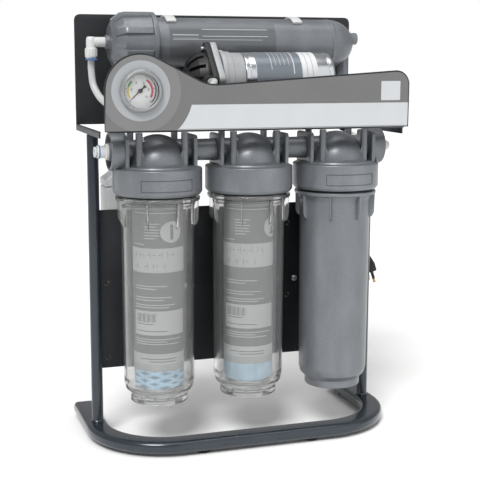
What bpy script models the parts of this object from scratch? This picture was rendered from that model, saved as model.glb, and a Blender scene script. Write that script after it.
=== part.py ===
# Reverse osmosis unit on a tube stand: three filter housings in a row under a shelf, a booster pump and a
# membrane vessel above it, a pressure gauge in the front panel and a power supply behind the rear panel.
# Metres, +Z up, +X to the right, +Y to the back. The origin is under the middle of the stand, on the floor.

import bpy
import bmesh
from math import pi, cos, sin, tan, radians, sqrt
from mathutils import Vector

# clearances
GAP = 0.0003              # between pieces that touch
RUN = 0.0008              # around a piece that turns or slides
WELD = 0.00001
HOUSING_SIDES = 20        # sides of the pieces turned about a housing's axis
BORE_SIDES = 12           # sides of a port's bore

# stand
BASE_WIDTH = 0.434
BASE_DEPTH = 0.2195
BASE_TUBE_WIDTH = 0.031
BASE_TUBE_HEIGHT = 0.0165
BASE_CORNER_RADIUS = 0.095    # at the middle of the tube
FOOT_HEIGHT = 0.0042
FOOT_RADIUS = 0.0088
FOOT_FRONT_X = 0.077
FOOT_BACK_Y = 0.080
POST_RADIUS = 0.0078
POST_Y = 0.010
POST_X = 0.1998

# sheet metal
SHELF_HEIGHT = 0.4263         # top face of the shelf
SHEET = 0.002
SHELF_HALF_WIDTH = 0.206
SHELF_FRONT_Y = -0.094
SHELF_LIP = 0.0085
LIP_FRONT_LEFT_Y = -0.068
LIP_FRONT_RIGHT_Y = -0.090
BACK_PLATE_Y = 0.0947         # front face of the back plate
BACK_PLATE_TOP = SHELF_HEIGHT + 0.1507
BACK_PLATE_CORNER = 0.0095
REAR_PANEL_BOTTOM = 0.0935
REAR_PANEL_TOP = 0.3145
REAR_PANEL_HOLE = 0.0032
PANEL_HOLES = {"hole_upper": (-0.182, 0.213), "hole_lower": (-0.182, 0.108),
               "hole_mid_high": (0.082, 0.285),
               "hole_mid_low": (0.082, 0.180)}
PANEL_SCREWS = {"panel_screw_left": (-0.060, 0.204), "panel_screw_right": (0.0925, 0.204)}
SCREW_SHANK = 0.0019
SCREW_HEAD = 0.0042
SCREW_LENGTH = 0.009
HOSE_HOLE = (0.165, 0.012)    # where the suction hose comes up through the shelf

# front panel
PANEL_FRONT_Y = -0.107        # front face of the printed overlay
PANEL_HALF_WIDTH = 0.2062
PANEL_BOTTOM = SHELF_HEIGHT + 0.0018
PANEL_RIGHT_TOP = SHELF_HEIGHT + 0.0778      # height at the right edge, before its corner is rounded
PANEL_SLOPE = 0.0674
PANEL_CORNER = 0.019
PANEL_DIP_RADIUS = 0.055
PANEL_ARC_FALL = radians(27)  # how steeply the outline leaves the round end
PANEL_RETURN = 0.030
OVERLAY = 0.0006
OVERLAY_INSET = 0.0013

# gauge
GAUGE_X = -0.1605
GAUGE_Z = SHELF_HEIGHT + 0.0519
GAUGE_ARC = 0.046             # round end of the panel about the gauge
GAUGE_CASE = 0.0245
GAUGE_BEZEL = 0.027
GAUGE_WINDOW = 0.0215
GAUGE_DEPTH = 0.026
GAUGE_PROUD = 0.0075
NEEDLE_LENGTH = 0.0165
NEEDLE_TAIL = 0.009
NEEDLE_REST = radians(-47)    # from straight down, where the dial's zero is

# filter housings, heights measured down from the top of the collar
HOUSING_PITCH = 0.126
HOUSING_Y = -0.048
HEAD_HEIGHT = 0.0455          # top of the collar to the underside of the shelf
COLLAR_RADIUS = 0.0587
COLLAR_HEIGHT = 0.0358
SOCKET_ROOF = 0.0086
DOME_RADIUS = 0.0405
DOME_RIM = 0.0012             # centre of the dome above the top of the collar
DOME_WALL = 0.0055
PORT_HEIGHT = 0.0203          # port axis above the top of the collar
PORT_RADIUS = 0.0148
PORT_BORE = 0.007
PORT_BOSS = 0.0245            # big boss on the two end ports
PORT_BOSS_LENGTH = 0.022
PORT_FLANGE_X = 0.0475        # outer face of a port flange from the housing axis
PORT_FLANGE = 0.005
PORT_FLANGE_HALF = 0.026
PILLAR_RADIUS = 0.0046
PILLAR_X = 0.0300
PILLAR_Y = 0.0260
SPIGOT_RADIUS = 0.0122
BOWL_LENGTH = 0.314
BOWL_RADIUS = 0.0485
BOWL_DRAFT = 0.0013
BOWL_WALL = 0.0048
BOWL_NECK = 0.0504
BOWL_FLANGE = 0.0560
BOWL_FLANGE_THICK = 0.0050
BOWL_FOOT_RADIUS = 0.0385
BOWL_FOOT_HEIGHT = 0.0115
LUG_COUNT = 8
LUG_REACH = 0.0545
LUG_THICK = 0.0026
LUG_LENGTH = 0.028
RING_RADIUS = 0.0017          # half the thickness of the bowl seal
CARTRIDGE_RADIUS = 0.0330
CARTRIDGE_LENGTH = 0.254
CARTRIDGE_BORE = 0.0140
CARTRIDGE_FOOT = 0.2925       # its lower end below the collar top

# port fittings
FITTING_RADIUS = 0.0082
FITTING_REACH = 0.0150        # past the face of the end boss
COLLET_RADIUS = 0.0070
TUBE_RADIUS = 0.00475
COLLET_TRAVEL = 0.0015
OUTLET_X = 0.1976
OUTLET_REACH = 0.024

# membrane vessel
VESSEL_Z = SHELF_HEIGHT + 0.1124
VESSEL_RADIUS = 0.0335
VESSEL_WALL = 0.003
VESSEL_SEAM_X = 0.152
VESSEL_END_X = 0.190
CAP_RADIUS = VESSEL_RADIUS + 0.0085
VESSEL_Y = BACK_PLATE_Y - CAP_RADIUS - 0.0017
CAP_LEFT_X = -0.167
CAP_RIGHT_X = -0.106
CAP_RIB_COUNT = 8
ELEMENT_RADIUS = 0.0235
ELEMENT_LENGTH = 0.255
ELBOW_X = -0.1915
CLIP_WIDTH = 0.014
CLIP_THICK = 0.0028
CLIP_XS = (-0.085, 0.098)
UPPER_PORT_X = 0.197
UPPER_PORT_Z = SHELF_HEIGHT + 0.1192
LOWER_PORT_X = 0.176
LOWER_PORT_Z = SHELF_HEIGHT + 0.0437

# booster pump
PUMP_Y = VESSEL_Y - 0.0730
PUMP_Z = SHELF_HEIGHT + 0.0654
MOTOR_RADIUS = 0.0340
MOTOR_WALL = 0.0012
MOTOR_LEFT_X = -0.006
MOTOR_RIGHT_X = 0.122
ADAPTOR_RADIUS = 0.0350
ADAPTOR_LEFT_X = -0.0372
PUMP_FLANGE_RADIUS = 0.0450
PUMP_FLANGE = 0.0060
PUMP_HEAD_RADIUS = 0.0440
PUMP_HEAD_LEFT_X = -0.0810
PUMP_PORT_X = -0.0600
PUMP_PORT_REACH = 0.0500      # from the pump's axis to the face of a port
PUMP_OUTLET_Z = SHELF_HEIGHT + 0.0614
PUMP_INLET_Z = SHELF_HEIGHT + 0.0437
CRADLE_X = 0.064
CRADLE_HALF = 0.030
CRADLE_LENGTH = 0.050
ROTOR_RADIUS = 0.0240
SHAFT_RADIUS = 0.0030

# power supply, cord and plug
SUPPLY_LEFT_X = -0.1800
SUPPLY_WIDTH = 0.0720
SUPPLY_DEPTH = 0.0440
SUPPLY_TOP = 0.3630
SUPPLY_HEIGHT = 0.1150
SUPPLY_LID = 0.0180
CORD_RADIUS = 0.0030
COIL_RADIUS = 0.0340          # to the middle of its turns
COIL_X = 0.030
COIL_Z = 0.215
COIL_HALF_DEPTH = 0.0062
COIL_HALF_HEIGHT = 0.0095
COIL_STANDOFF = 0.0020        # room for the tie between the coil and the rear panel
PEG_RADIUS = 0.0040
PEG_HEAD = 0.0050             # how far the peg's head reaches past it
TIE_WIDTH = 0.0035
TIE_BAND = 0.0010
CLIP_AT = (0.172, 0.0300, 0.2820)
PLUG_LENGTH = 0.034
PLUG_HALF = 0.0175
PLUG_THICK = 0.0135
PLUG_PITCH = 0.019
PLUG_PIN = 0.019
PLUG_TILT = radians(18)
PLUG_FACE = (0.2200, 0.0370, 0.2052)

# places that follow from the sizes above
BASE_FRONT_Y = -BASE_DEPTH / 2
BASE_X = BASE_WIDTH / 2 - BASE_TUBE_WIDTH / 2
BASE_BOTTOM = FOOT_HEIGHT + GAP
BASE_TOP = BASE_BOTTOM + BASE_TUBE_HEIGHT
SHELF_UNDER = SHELF_HEIGHT - SHEET
COLLAR_TOP = SHELF_UNDER - HEAD_HEIGHT
PORT_Z = COLLAR_TOP + PORT_HEIGHT
SOCKET_RADIUS = (BOWL_NECK + RUN) / cos(pi / HOUSING_SIDES)    # clear of the neck's corners as it turns
HOUSING_XS = (-HOUSING_PITCH, 0.0, HOUSING_PITCH)
END_FACE_X = HOUSING_PITCH + PORT_FLANGE_X + PORT_BOSS_LENGTH - PORT_FLANGE
REAR_PANEL_Y = POST_Y + POST_RADIUS + GAP
SHEET_FRONT_Y = PANEL_FRONT_Y + OVERLAY + GAP
ALONG_X = (0, pi / 2, 0)      # turns a shape's own +Z to the right
TO_FRONT = (pi / 2, 0, 0)     # turns a shape's own +Z to the front
TO_BACK = (-pi / 2, 0, 0)     # turns a shape's own +Z to the back
HALF_SIDE = (0, 0, pi / HOUSING_SIDES)


# scene and materials ------------------------------------------------------------------------------------

for old in list(bpy.data.objects):
    bpy.data.objects.remove(old, do_unlink=True)

parts = bpy.data.collections.new("reverse_osmosis_unit")
guides = bpy.data.collections.new("cutters")
bpy.context.scene.collection.children.link(parts)
bpy.context.scene.collection.children.link(guides)


def material(name, colour, roughness, metallic=0.0, alpha=1.0):
    made = bpy.data.materials.new(name)
    made.use_nodes = True
    shader = made.node_tree.nodes["Principled BSDF"]
    shader.inputs["Base Color"].default_value = (*colour, 1.0)
    shader.inputs["Roughness"].default_value = roughness
    shader.inputs["Metallic"].default_value = metallic
    shader.inputs["Alpha"].default_value = alpha
    return made


SLATE = material("slate_paint", (0.10, 0.12, 0.14), 0.35, 0.4)
BLACK_SHEET = material("black_sheet", (0.02, 0.022, 0.025), 0.5)
GREY_PLASTIC = material("grey_plastic", (0.33, 0.34, 0.36), 0.4)
CLEAR = material("clear_plastic", (0.85, 0.9, 0.9), 0.1, alpha=0.3)
WHITE = material("white_plastic", (0.85, 0.85, 0.84), 0.45)
BLACK_PLASTIC = material("black_plastic", (0.03, 0.03, 0.03), 0.5)
BLUE = material("blue_cartridge", (0.55, 0.7, 0.8), 0.8)
OVERLAY_PRINT = material("overlay_print", (0.28, 0.28, 0.28), 0.5)
STEEL = material("steel", (0.75, 0.76, 0.78), 0.2, 1.0)
RUBBER = material("rubber", (0.02, 0.02, 0.02), 0.8)
NEEDLE_PAINT = material("needle_paint", (0.08, 0.08, 0.08), 0.5)


# building helpers ---------------------------------------------------------------------------------------

def place(obj, paint, at=(0, 0, 0), turn=(0, 0, 0), group=None):
    obj.location = at
    obj.rotation_euler = turn
    (group or parts).objects.link(obj)
    if paint:
        obj.data.materials.append(paint)
    return obj


def cutter(obj):
    """A guide shape that other pieces are cut with or joined to."""
    obj.hide_render = True
    obj.display_type = "WIRE"
    return obj


def arc(x, z, radius, start, end, steps):
    """Points round a centre, from one angle in degrees to another."""
    angles = [radians(start + (end - start) * i / steps) for i in range(steps + 1)]
    return [(x + radius * cos(a), z + radius * sin(a)) for a in angles]


def turned(name, profile, paint, at=(0, 0, 0), turn=(0, 0, 0), steps=48, ring=False, group=None):
    """A profile of (radius, height) points turned about the piece's own Z axis."""
    mesh = bpy.data.meshes.new(name)
    points = [(max(r, 0.0), 0.0, z) for r, z in profile]
    edges = [(i, i + 1) for i in range(len(points) - 1)]
    if ring:
        edges.append((len(points) - 1, 0))
    mesh.from_pydata(points, edges, [])
    obj = place(bpy.data.objects.new(name, mesh), paint, at, turn, group)
    screw = obj.modifiers.new("turn", "SCREW")
    screw.steps = steps
    screw.render_steps = steps
    screw.use_merge_vertices = True
    screw.merge_threshold = WELD
    screw.use_smooth_shade = True
    return obj


def disc(name, radius, low, high, paint, at=(0, 0, 0), turn=(0, 0, 0), steps=32, edge=0.0, group=None):
    """A plain round piece between two heights, with an optional chamfer at both ends."""
    profile = [(0, high), (radius - edge, high), (radius, high - edge), (radius, low + edge),
               (radius - edge, low), (0, low)]
    if not edge:
        profile = [(0, high), (radius, high), (radius, low), (0, low)]
    return turned(name, profile, paint, at, turn, steps, group=group)


def ring(name, outer, inner, low, high, paint, at=(0, 0, 0), turn=(0, 0, 0), steps=40, group=None):
    profile = [(outer, high), (outer, low), (inner, low), (inner, high)]
    return turned(name, profile, paint, at, turn, steps, ring=True, group=group)


def box(name, low, high, paint, edge=0.0, group=None, edge_steps=2):
    """A box between two corners, modelled about its own middle, with rounded edges."""
    low, high = Vector(low), Vector(high)
    mesh = bpy.data.meshes.new(name)
    form = bmesh.new()
    bmesh.ops.create_cube(form, size=1.0)
    bmesh.ops.scale(form, vec=high - low, verts=form.verts)
    form.to_mesh(mesh)
    form.free()
    obj = place(bpy.data.objects.new(name, mesh), paint, (low + high) / 2, group=group)
    if edge:
        bevel = obj.modifiers.new("edges", "BEVEL")
        bevel.width = edge
        bevel.segments = edge_steps
        bevel.limit_method = "NONE"
    return obj


def flat(name, outline, thick, paint, at=(0, 0, 0), turn=(0, 0, 0), edge=0.0, group=None):
    """A flat outline given thickness on both sides of its own XY plane."""
    curve = bpy.data.curves.new(name, "CURVE")
    curve.dimensions = "2D"
    curve.fill_mode = "BOTH"
    curve.extrude = thick / 2 - edge
    curve.bevel_depth = edge
    curve.bevel_resolution = 1
    curve.offset = -edge
    line = curve.splines.new("POLY")
    line.points.add(len(outline) - 1)
    for point, (x, y) in zip(line.points, outline):
        point.co = (x, y, 0, 1)
    line.use_cyclic_u = True
    return welded(place(bpy.data.objects.new(name, curve), paint, at, turn, group))


def tube(name, points, radius, paint, sides=2, group=None):
    """A round wire, hose or rod along a line of points."""
    curve = bpy.data.curves.new(name, "CURVE")
    curve.dimensions = "3D"
    curve.bevel_depth = radius
    curve.bevel_resolution = sides
    curve.use_fill_caps = True
    line = curve.splines.new("POLY")
    line.points.add(len(points) - 1)
    for point, spot in zip(line.points, points):
        point.co = (*spot, 1)
    return welded(place(bpy.data.objects.new(name, curve), paint, group=group))


def welded(obj):
    weld = obj.modifiers.new("weld", "WELD")
    weld.merge_threshold = WELD
    return obj


def solid_copy(obj):
    """The finished mesh of a curve object, as a mesh object of the same name, which can be cut and joined."""
    bpy.context.view_layer.update()
    mesh = bpy.data.meshes.new_from_object(obj.evaluated_get(bpy.context.evaluated_depsgraph_get()))
    form = bmesh.new()
    form.from_mesh(mesh)
    bmesh.ops.remove_doubles(form, verts=form.verts, dist=WELD)
    form.to_mesh(mesh)
    form.free()
    name, group = obj.name, obj.users_collection[0]
    made = bpy.data.objects.new(name + "_solid", mesh)
    made.matrix_world = obj.matrix_world.copy()
    bpy.data.objects.remove(obj, do_unlink=True)
    made.name = name
    group.objects.link(made)
    return made


def combine(obj, other, how):
    step = obj.modifiers.new(how.lower(), "BOOLEAN")
    step.operation = how
    step.solver = "EXACT"
    step.object = cutter(other)
    return obj


def join(obj, other):
    return combine(obj, other, "UNION")


def cut(obj, other):
    return combine(obj, other, "DIFFERENCE")


def smooth_route(route, spacing):
    """Evenly spaced points on the smooth curve through a route's own points."""
    spots = [Vector(p) for p in route]
    ends = [2 * spots[0] - spots[1]] + spots + [2 * spots[-1] - spots[-2]]
    fine = []
    for a, b, c, d in zip(ends, ends[1:], ends[2:], ends[3:]):
        for i in range(40):
            t = i / 40
            fine.append(0.5 * ((2 * b) + (c - a) * t + (2 * a - 5 * b + 4 * c - d) * t ** 2
                               + (3 * b - a - 3 * c + d) * t ** 3))
    fine.append(spots[-1])
    length = sum((q - p).length for p, q in zip(fine, fine[1:]))
    count = max(2, round(length / spacing))
    points, walked, wanted = [fine[0]], 0.0, length / count
    for p, q in zip(fine, fine[1:]):
        walked += (q - p).length
        if walked >= wanted and len(points) < count:
            points.append(q)
            wanted += length / count
    return points + [fine[-1]]


# stand --------------------------------------------------------------------------------------------------

def base_outline():
    """Plan of the base: a wide U that is open at the back, with softly rounded ends."""
    half, inner = BASE_TUBE_WIDTH / 2, BASE_CORNER_RADIUS - BASE_TUBE_WIDTH / 2
    outer = BASE_CORNER_RADIUS + half
    bend_x, bend_y = BASE_X - BASE_CORNER_RADIUS, BASE_FRONT_Y + outer
    end = half * 0.6
    back = BASE_DEPTH / 2 - end
    right = arc(BASE_X + half - end, back, end, 0, 90, 2) + arc(BASE_X - half + end, back, end, 90, 180,
                                                                2)
    inside = arc(bend_x, bend_y, inner, 0, -90, 7) + arc(-bend_x, bend_y, inner, -90, -180, 7)
    left = arc(-BASE_X + half - end, back, end, 0, 90, 2) + arc(-BASE_X - half + end, back, end, 90,
                                                                180, 2)
    outside = arc(-bend_x, bend_y, outer, 180, 270, 9) + arc(bend_x, bend_y, outer, 270, 360, 9)
    return right + inside + left + outside


def make_stand():
    flat("base_tube", base_outline(), BASE_TUBE_HEIGHT, SLATE, (0, 0, BASE_BOTTOM + BASE_TUBE_HEIGHT / 2),
         edge=BASE_TUBE_HEIGHT * 0.42)
    feet = {"foot_front_left": (-FOOT_FRONT_X, BASE_FRONT_Y + BASE_TUBE_WIDTH / 2),
            "foot_front_right": (FOOT_FRONT_X, BASE_FRONT_Y + BASE_TUBE_WIDTH / 2),
            "foot_back_left": (-BASE_X, FOOT_BACK_Y), "foot_back_right": (BASE_X, FOOT_BACK_Y)}
    for name, (x, y) in feet.items():
        disc(name, FOOT_RADIUS, 0, FOOT_HEIGHT, RUBBER, (x, y, 0), steps=16)
    shoulder, stud = SHELF_HEIGHT - SHELF_LIP - GAP, POST_RADIUS * 0.45
    post = [(0, SHELF_UNDER - GAP), (stud, SHELF_UNDER - GAP), (stud, shoulder), (POST_RADIUS, shoulder),
            (POST_RADIUS, BASE_TOP + GAP), (0, BASE_TOP + GAP)]
    for name, side in (("left_post", -1), ("right_post", 1)):
        turned(name, post, SLATE, (side * POST_X, POST_Y, 0), steps=20)


# sheet metal --------------------------------------------------------------------------------------------

def plate_outline(half, low, high, corner):
    top = arc(half - corner, high - corner, corner, 0, 90,
              5) + arc(corner - half, high - corner, corner, 90, 180, 5)
    return [(-half, low), (half, low)] + top


def make_top_bracket():
    """Back plate and shelf from one bent sheet, with lips turned down at the sides and the front."""
    middle_y = BACK_PLATE_Y + SHEET / 2
    bracket = solid_copy(flat("top_bracket", plate_outline(SHELF_HALF_WIDTH, SHELF_UNDER, BACK_PLATE_TOP,
                                                          BACK_PLATE_CORNER),
                              SHEET, BLACK_SHEET, (0, middle_y, 0), TO_FRONT))
    lip_low, back_y = SHELF_HEIGHT - SHELF_LIP, BACK_PLATE_Y + SHEET / 2
    half = SHELF_HALF_WIDTH
    shelf = [("shelf_sheet", (-half, SHELF_FRONT_Y, SHELF_UNDER), (half, back_y, SHELF_HEIGHT)),
             ("left_lip", (-half, LIP_FRONT_LEFT_Y, lip_low),
              (SHEET - half, back_y, SHELF_HEIGHT - 0.0005)),
             ("right_lip", (half - SHEET, LIP_FRONT_RIGHT_Y, lip_low),
              (half, back_y, SHELF_HEIGHT - 0.0005))]
    for name, low, high in shelf:
        join(bracket, box(name, low, high, None, group=guides))
    cut(bracket, disc("hose_hole", TUBE_RADIUS + 0.002, SHELF_UNDER - 0.005, SHELF_HEIGHT + 0.005, None,
                      (*HOSE_HOLE, 0), group=guides, steps=24))


def make_rear_panel():
    half = POST_X + 0.001
    panel = solid_copy(flat("rear_panel", [(-half, REAR_PANEL_BOTTOM), (half, REAR_PANEL_BOTTOM),
                                           (half, REAR_PANEL_TOP), (-half, REAR_PANEL_TOP)],
                            SHEET, BLACK_SHEET, (0, REAR_PANEL_Y + SHEET / 2, 0), TO_FRONT))
    for name, (x, z) in PANEL_HOLES.items():
        cut(panel, disc(name, REAR_PANEL_HOLE, -0.01, 0.01, None, (x, REAR_PANEL_Y, z), TO_FRONT, 8,
                        group=guides))
    for name, (x, z) in PANEL_SCREWS.items():
        cut(panel, disc(name + "_hole", SCREW_SHANK + GAP, -0.01, 0.01, None, (x, REAR_PANEL_Y, z),
                        TO_FRONT, 12,
                        group=guides))
        profile = [(0, 0.0026), (SCREW_HEAD * 0.6, 0.0024), (SCREW_HEAD, 0.0008), (SCREW_HEAD, 0),
                   (SCREW_SHANK, 0), (SCREW_SHANK, -SCREW_LENGTH), (0, -SCREW_LENGTH)]
        turned(name, profile, STEEL, (x, REAR_PANEL_Y - GAP, z), TO_FRONT, 12)


# front panel and gauge ----------------------------------------------------------------------------------

def panel_outline(inset=0.0, left_inset=None):
    """Front view of the panel: round about the gauge at the left, dipping, then rising gently to the right."""
    left = -PANEL_HALF_WIDTH + (inset if left_inset is None else left_inset)
    right, low = PANEL_HALF_WIDTH - inset, PANEL_BOTTOM + inset * 0.5
    reach = GAUGE_ARC - inset
    slope_angle = PANEL_SLOPE
    leave = pi / 2 - PANEL_ARC_FALL
    round_end = arc(GAUGE_X, GAUGE_Z, reach, 180, 90 - PANEL_ARC_FALL * 180 / pi, 10)
    start = Vector((GAUGE_X + reach * cos(leave), GAUGE_Z + reach * sin(leave)))
    fall = Vector((cos(PANEL_ARC_FALL), -sin(PANEL_ARC_FALL)))
    rise = Vector((cos(slope_angle), sin(slope_angle)))
    corner_top = Vector((PANEL_HALF_WIDTH, PANEL_RIGHT_TOP - inset))
    # where the falling and the rising lines meet
    across = start - corner_top
    turn = fall.x * rise.y - fall.y * rise.x
    meet = start + fall * ((rise.x * across.y - rise.y * across.x) / turn)
    bend = PANEL_ARC_FALL + slope_angle
    dip_radius = PANEL_DIP_RADIUS + inset
    reach_back = dip_radius * tan(bend / 2)
    centre = meet - fall * reach_back + Vector((sin(PANEL_ARC_FALL), cos(PANEL_ARC_FALL))) * dip_radius
    dip = arc(centre.x, centre.y, dip_radius, 270 - PANEL_ARC_FALL * 180 / pi,
              270 + slope_angle * 180 / pi, 4)
    corner = PANEL_CORNER - inset
    corner_centre = Vector((right - corner,
                            corner_top.y - (PANEL_HALF_WIDTH - right + corner) * PANEL_SLOPE
                            - corner / cos(slope_angle)))
    top_right = arc(corner_centre.x, corner_centre.y, corner, 90 + slope_angle * 180 / pi, 0, 5)
    return [(left, low)] + round_end + dip + top_right + [(right, low)]


def make_front_panel():
    sheet_y = SHEET_FRONT_Y + SHEET / 2
    panel = solid_copy(flat("front_panel", panel_outline(), SHEET, BLACK_SHEET, (0, sheet_y, 0),
                            TO_FRONT))
    low = SHELF_HEIGHT + GAP
    join(panel, box("panel_return", (-PANEL_HALF_WIDTH + 0.006, sheet_y, low),
                    (PANEL_HALF_WIDTH - 0.006, sheet_y + PANEL_RETURN, low + SHEET), None, group=guides))
    overlay = solid_copy(flat("panel_overlay", panel_outline(OVERLAY_INSET, 0.0003), OVERLAY,
                              OVERLAY_PRINT,
                              (0, PANEL_FRONT_Y + OVERLAY / 2, 0), TO_FRONT))
    hole = disc("gauge_hole", GAUGE_CASE + GAP, -0.02, 0.02, None, (GAUGE_X, PANEL_FRONT_Y, GAUGE_Z),
                TO_FRONT,
                24, group=guides)
    cut(panel, hole)
    cut(overlay, hole)


def make_gauge():
    """Depths run from the overlay's face: positive comes forward."""
    at = (GAUGE_X, PANEL_FRONT_Y, GAUGE_Z)
    inner, floor = GAUGE_CASE - 0.0015, -0.006
    case = [(0, floor), (inner, floor), (inner, 0.0035), (GAUGE_CASE, 0.0035),
            (GAUGE_CASE, 0.002 - GAUGE_DEPTH),
            (GAUGE_CASE - 0.002, -GAUGE_DEPTH), (0.0065, -GAUGE_DEPTH), (0.0065, -GAUGE_DEPTH - 0.012),
            (0, -GAUGE_DEPTH - 0.012)]
    turned("gauge_case", case, BLACK_PLASTIC, at, TO_FRONT, 24)
    disc("gauge_dial", inner - GAP, floor + GAP, floor + 0.0013, WHITE, at, TO_FRONT, 24)
    lens_low = 0.0040
    bezel = [(GAUGE_BEZEL - 0.0022, GAUGE_PROUD), (GAUGE_BEZEL, GAUGE_PROUD - 0.0028), (GAUGE_BEZEL, GAP),
             (GAUGE_CASE + GAP, GAP), (GAUGE_CASE + GAP, lens_low + 0.0016),
             (GAUGE_WINDOW, lens_low + 0.0022),
             (GAUGE_WINDOW, GAUGE_PROUD)]
    turned("gauge_bezel", bezel, WHITE, at, TO_FRONT, 24, ring=True)
    disc("gauge_lens", GAUGE_CASE - GAP, lens_low, lens_low + 0.0012, CLEAR, at, TO_FRONT, 24)
    needle_face = floor + 0.0013 + RUN
    tip, tail = NEEDLE_LENGTH, NEEDLE_TAIL
    outline = [(-0.0004, -tip), (0.0004, -tip), (0.0008, -0.002), (0.0021, 0.0), (0.0010, 0.002),
               (0.0010, tail * 0.6), (0.0026, tail), (-0.0026, tail), (-0.0010, tail * 0.6),
               (-0.0010, 0.002),
               (-0.0021, 0.0), (-0.0008, -0.002)]
    needle = solid_copy(flat("gauge_needle", outline, 0.0006, NEEDLE_PAINT,
                             (GAUGE_X, PANEL_FRONT_Y - needle_face - 0.0003, GAUGE_Z), TO_FRONT))
    needle.rotation_euler = (pi / 2, -NEEDLE_REST, 0)
    hub = disc("needle_hub", 0.0027, needle_face, needle_face + 0.0014, None, at, TO_FRONT, 12,
               group=guides)
    join(needle, hub)


# filter housings ----------------------------------------------------------------------------------------

def head_outside():
    """Collar, shoulder and dome, from the top of the dome down."""
    rim, shoulder = DOME_RIM, COLLAR_RADIUS - 0.0060
    profile = arc(0, rim, DOME_RADIUS, 90, 8, 5)
    return profile + [(shoulder - 0.002, rim + 0.0015), (shoulder, 0), (COLLAR_RADIUS - 0.0012, 0),
                      (COLLAR_RADIUS, -0.0018), (COLLAR_RADIUS, 0.0032 - COLLAR_HEIGHT),
                      (COLLAR_RADIUS - 0.0032, -COLLAR_HEIGHT), (0, -COLLAR_HEIGHT)]


def head_cavity():
    """Bowl socket and inner dome round the spigot that enters the cartridge."""
    spigot_end, bore = -(CARTRIDGE_FOOT - CARTRIDGE_LENGTH) - 0.007, SPIGOT_RADIUS - 0.0025
    inner, below = DOME_RADIUS - DOME_WALL, -COLLAR_HEIGHT - 0.010
    dome = list(reversed(arc(0, DOME_RIM, inner, 0, 62, 3)))
    return [(0, 0.014), (bore, 0.014), (bore, spigot_end), (SPIGOT_RADIUS, spigot_end),
            (SPIGOT_RADIUS, inner * 0.92)] + dome + [(inner, -SOCKET_ROOF), (SOCKET_RADIUS, -SOCKET_ROOF),
                                                     (SOCKET_RADIUS, below), (0, below)]


def head_bore(outer):
    """The way through one port, with the seat of the push-fit in an end port. Heights run out of the port."""
    start, face = 0.0215, PORT_FLANGE_X - PORT_FLANGE + PORT_BOSS_LENGTH
    if not outer:
        return [(0, PORT_FLANGE_X + 0.010), (PORT_BORE, PORT_FLANGE_X + 0.010), (PORT_BORE, start),
                (0, start)]
    seat, root = (FITTING_RADIUS + GAP) / cos(pi / BORE_SIDES), face - 0.013
    return [(0, face + 0.010), (seat, face + 0.010), (seat, root), (PORT_BORE, root),
            (PORT_BORE, start), (0, start)]


def make_head(number, x):
    head = turned(f"head_{number}", head_outside(), GREY_PLASTIC, (x, HOUSING_Y, COLLAR_TOP), HALF_SIDE,
                  HOUSING_SIDES)
    port_at = (x, HOUSING_Y, PORT_Z)
    for side, outer in ((-1, number == 1), (1, number == 3)):
        tag = f"{number}_{'left' if side < 0 else 'right'}"
        turn = (0, side * pi / 2, 0)
        join(head, disc("port_" + tag, PORT_RADIUS, 0.010, PORT_FLANGE_X - 0.001, None, port_at, turn, 16,
                        group=guides))
        ends = sorted((x + side * PORT_FLANGE_X, x + side * (PORT_FLANGE_X - PORT_FLANGE)))
        join(head, box("flange_" + tag, (ends[0], HOUSING_Y - PORT_FLANGE_HALF, COLLAR_TOP - 0.003),
                       (ends[1], HOUSING_Y + PORT_FLANGE_HALF, SHELF_UNDER - 0.004), None, group=guides))
        if outer:
            join(head, disc("boss_" + tag, PORT_BOSS, PORT_FLANGE_X - PORT_FLANGE + 0.001,
                            PORT_FLANGE_X - PORT_FLANGE + PORT_BOSS_LENGTH, None, port_at, turn, 24,
                            group=guides))
        for along, word in ((-1, "front"), (1, "back")):
            spot = (x + side * PILLAR_X, HOUSING_Y + along * PILLAR_Y, COLLAR_TOP)
            join(head, disc(f"pillar_{tag}_{word}", PILLAR_RADIUS, -0.004, HEAD_HEIGHT - GAP, None,
                            spot, steps=6,
                            group=guides))
    cut(head, turned(f"cavity_{number}", head_cavity(), None, (x, HOUSING_Y, COLLAR_TOP), HALF_SIDE,
                     HOUSING_SIDES,
                     group=guides))
    for side, outer in ((-1, number == 1), (1, number == 3)):
        tag = f"{number}_{'left' if side < 0 else 'right'}"
        turn = (0, side * pi / 2, 0)
        cut(head, turned("bore_" + tag, head_bore(outer), None, port_at, turn, BORE_SIDES, group=guides))
        if outer:
            face = PORT_FLANGE_X - PORT_FLANGE + PORT_BOSS_LENGTH
            cut(head, ring("boss_hollow_" + tag, PORT_BOSS - 0.0032, FITTING_RADIUS + 0.0032,
                           face - 0.012,
                           face + 0.011, None, port_at, turn, 24, group=guides))


def make_coupling(number, x):
    reach = HOUSING_PITCH / 2 - PORT_FLANGE_X - GAP
    profile = [(PORT_RADIUS, reach), (PORT_RADIUS, -reach), (PORT_BORE, -reach), (PORT_BORE, reach)]
    turned(f"coupling_{number}", profile, GREY_PLASTIC, (x, HOUSING_Y, PORT_Z), ALONG_X, 24, ring=True)


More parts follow.
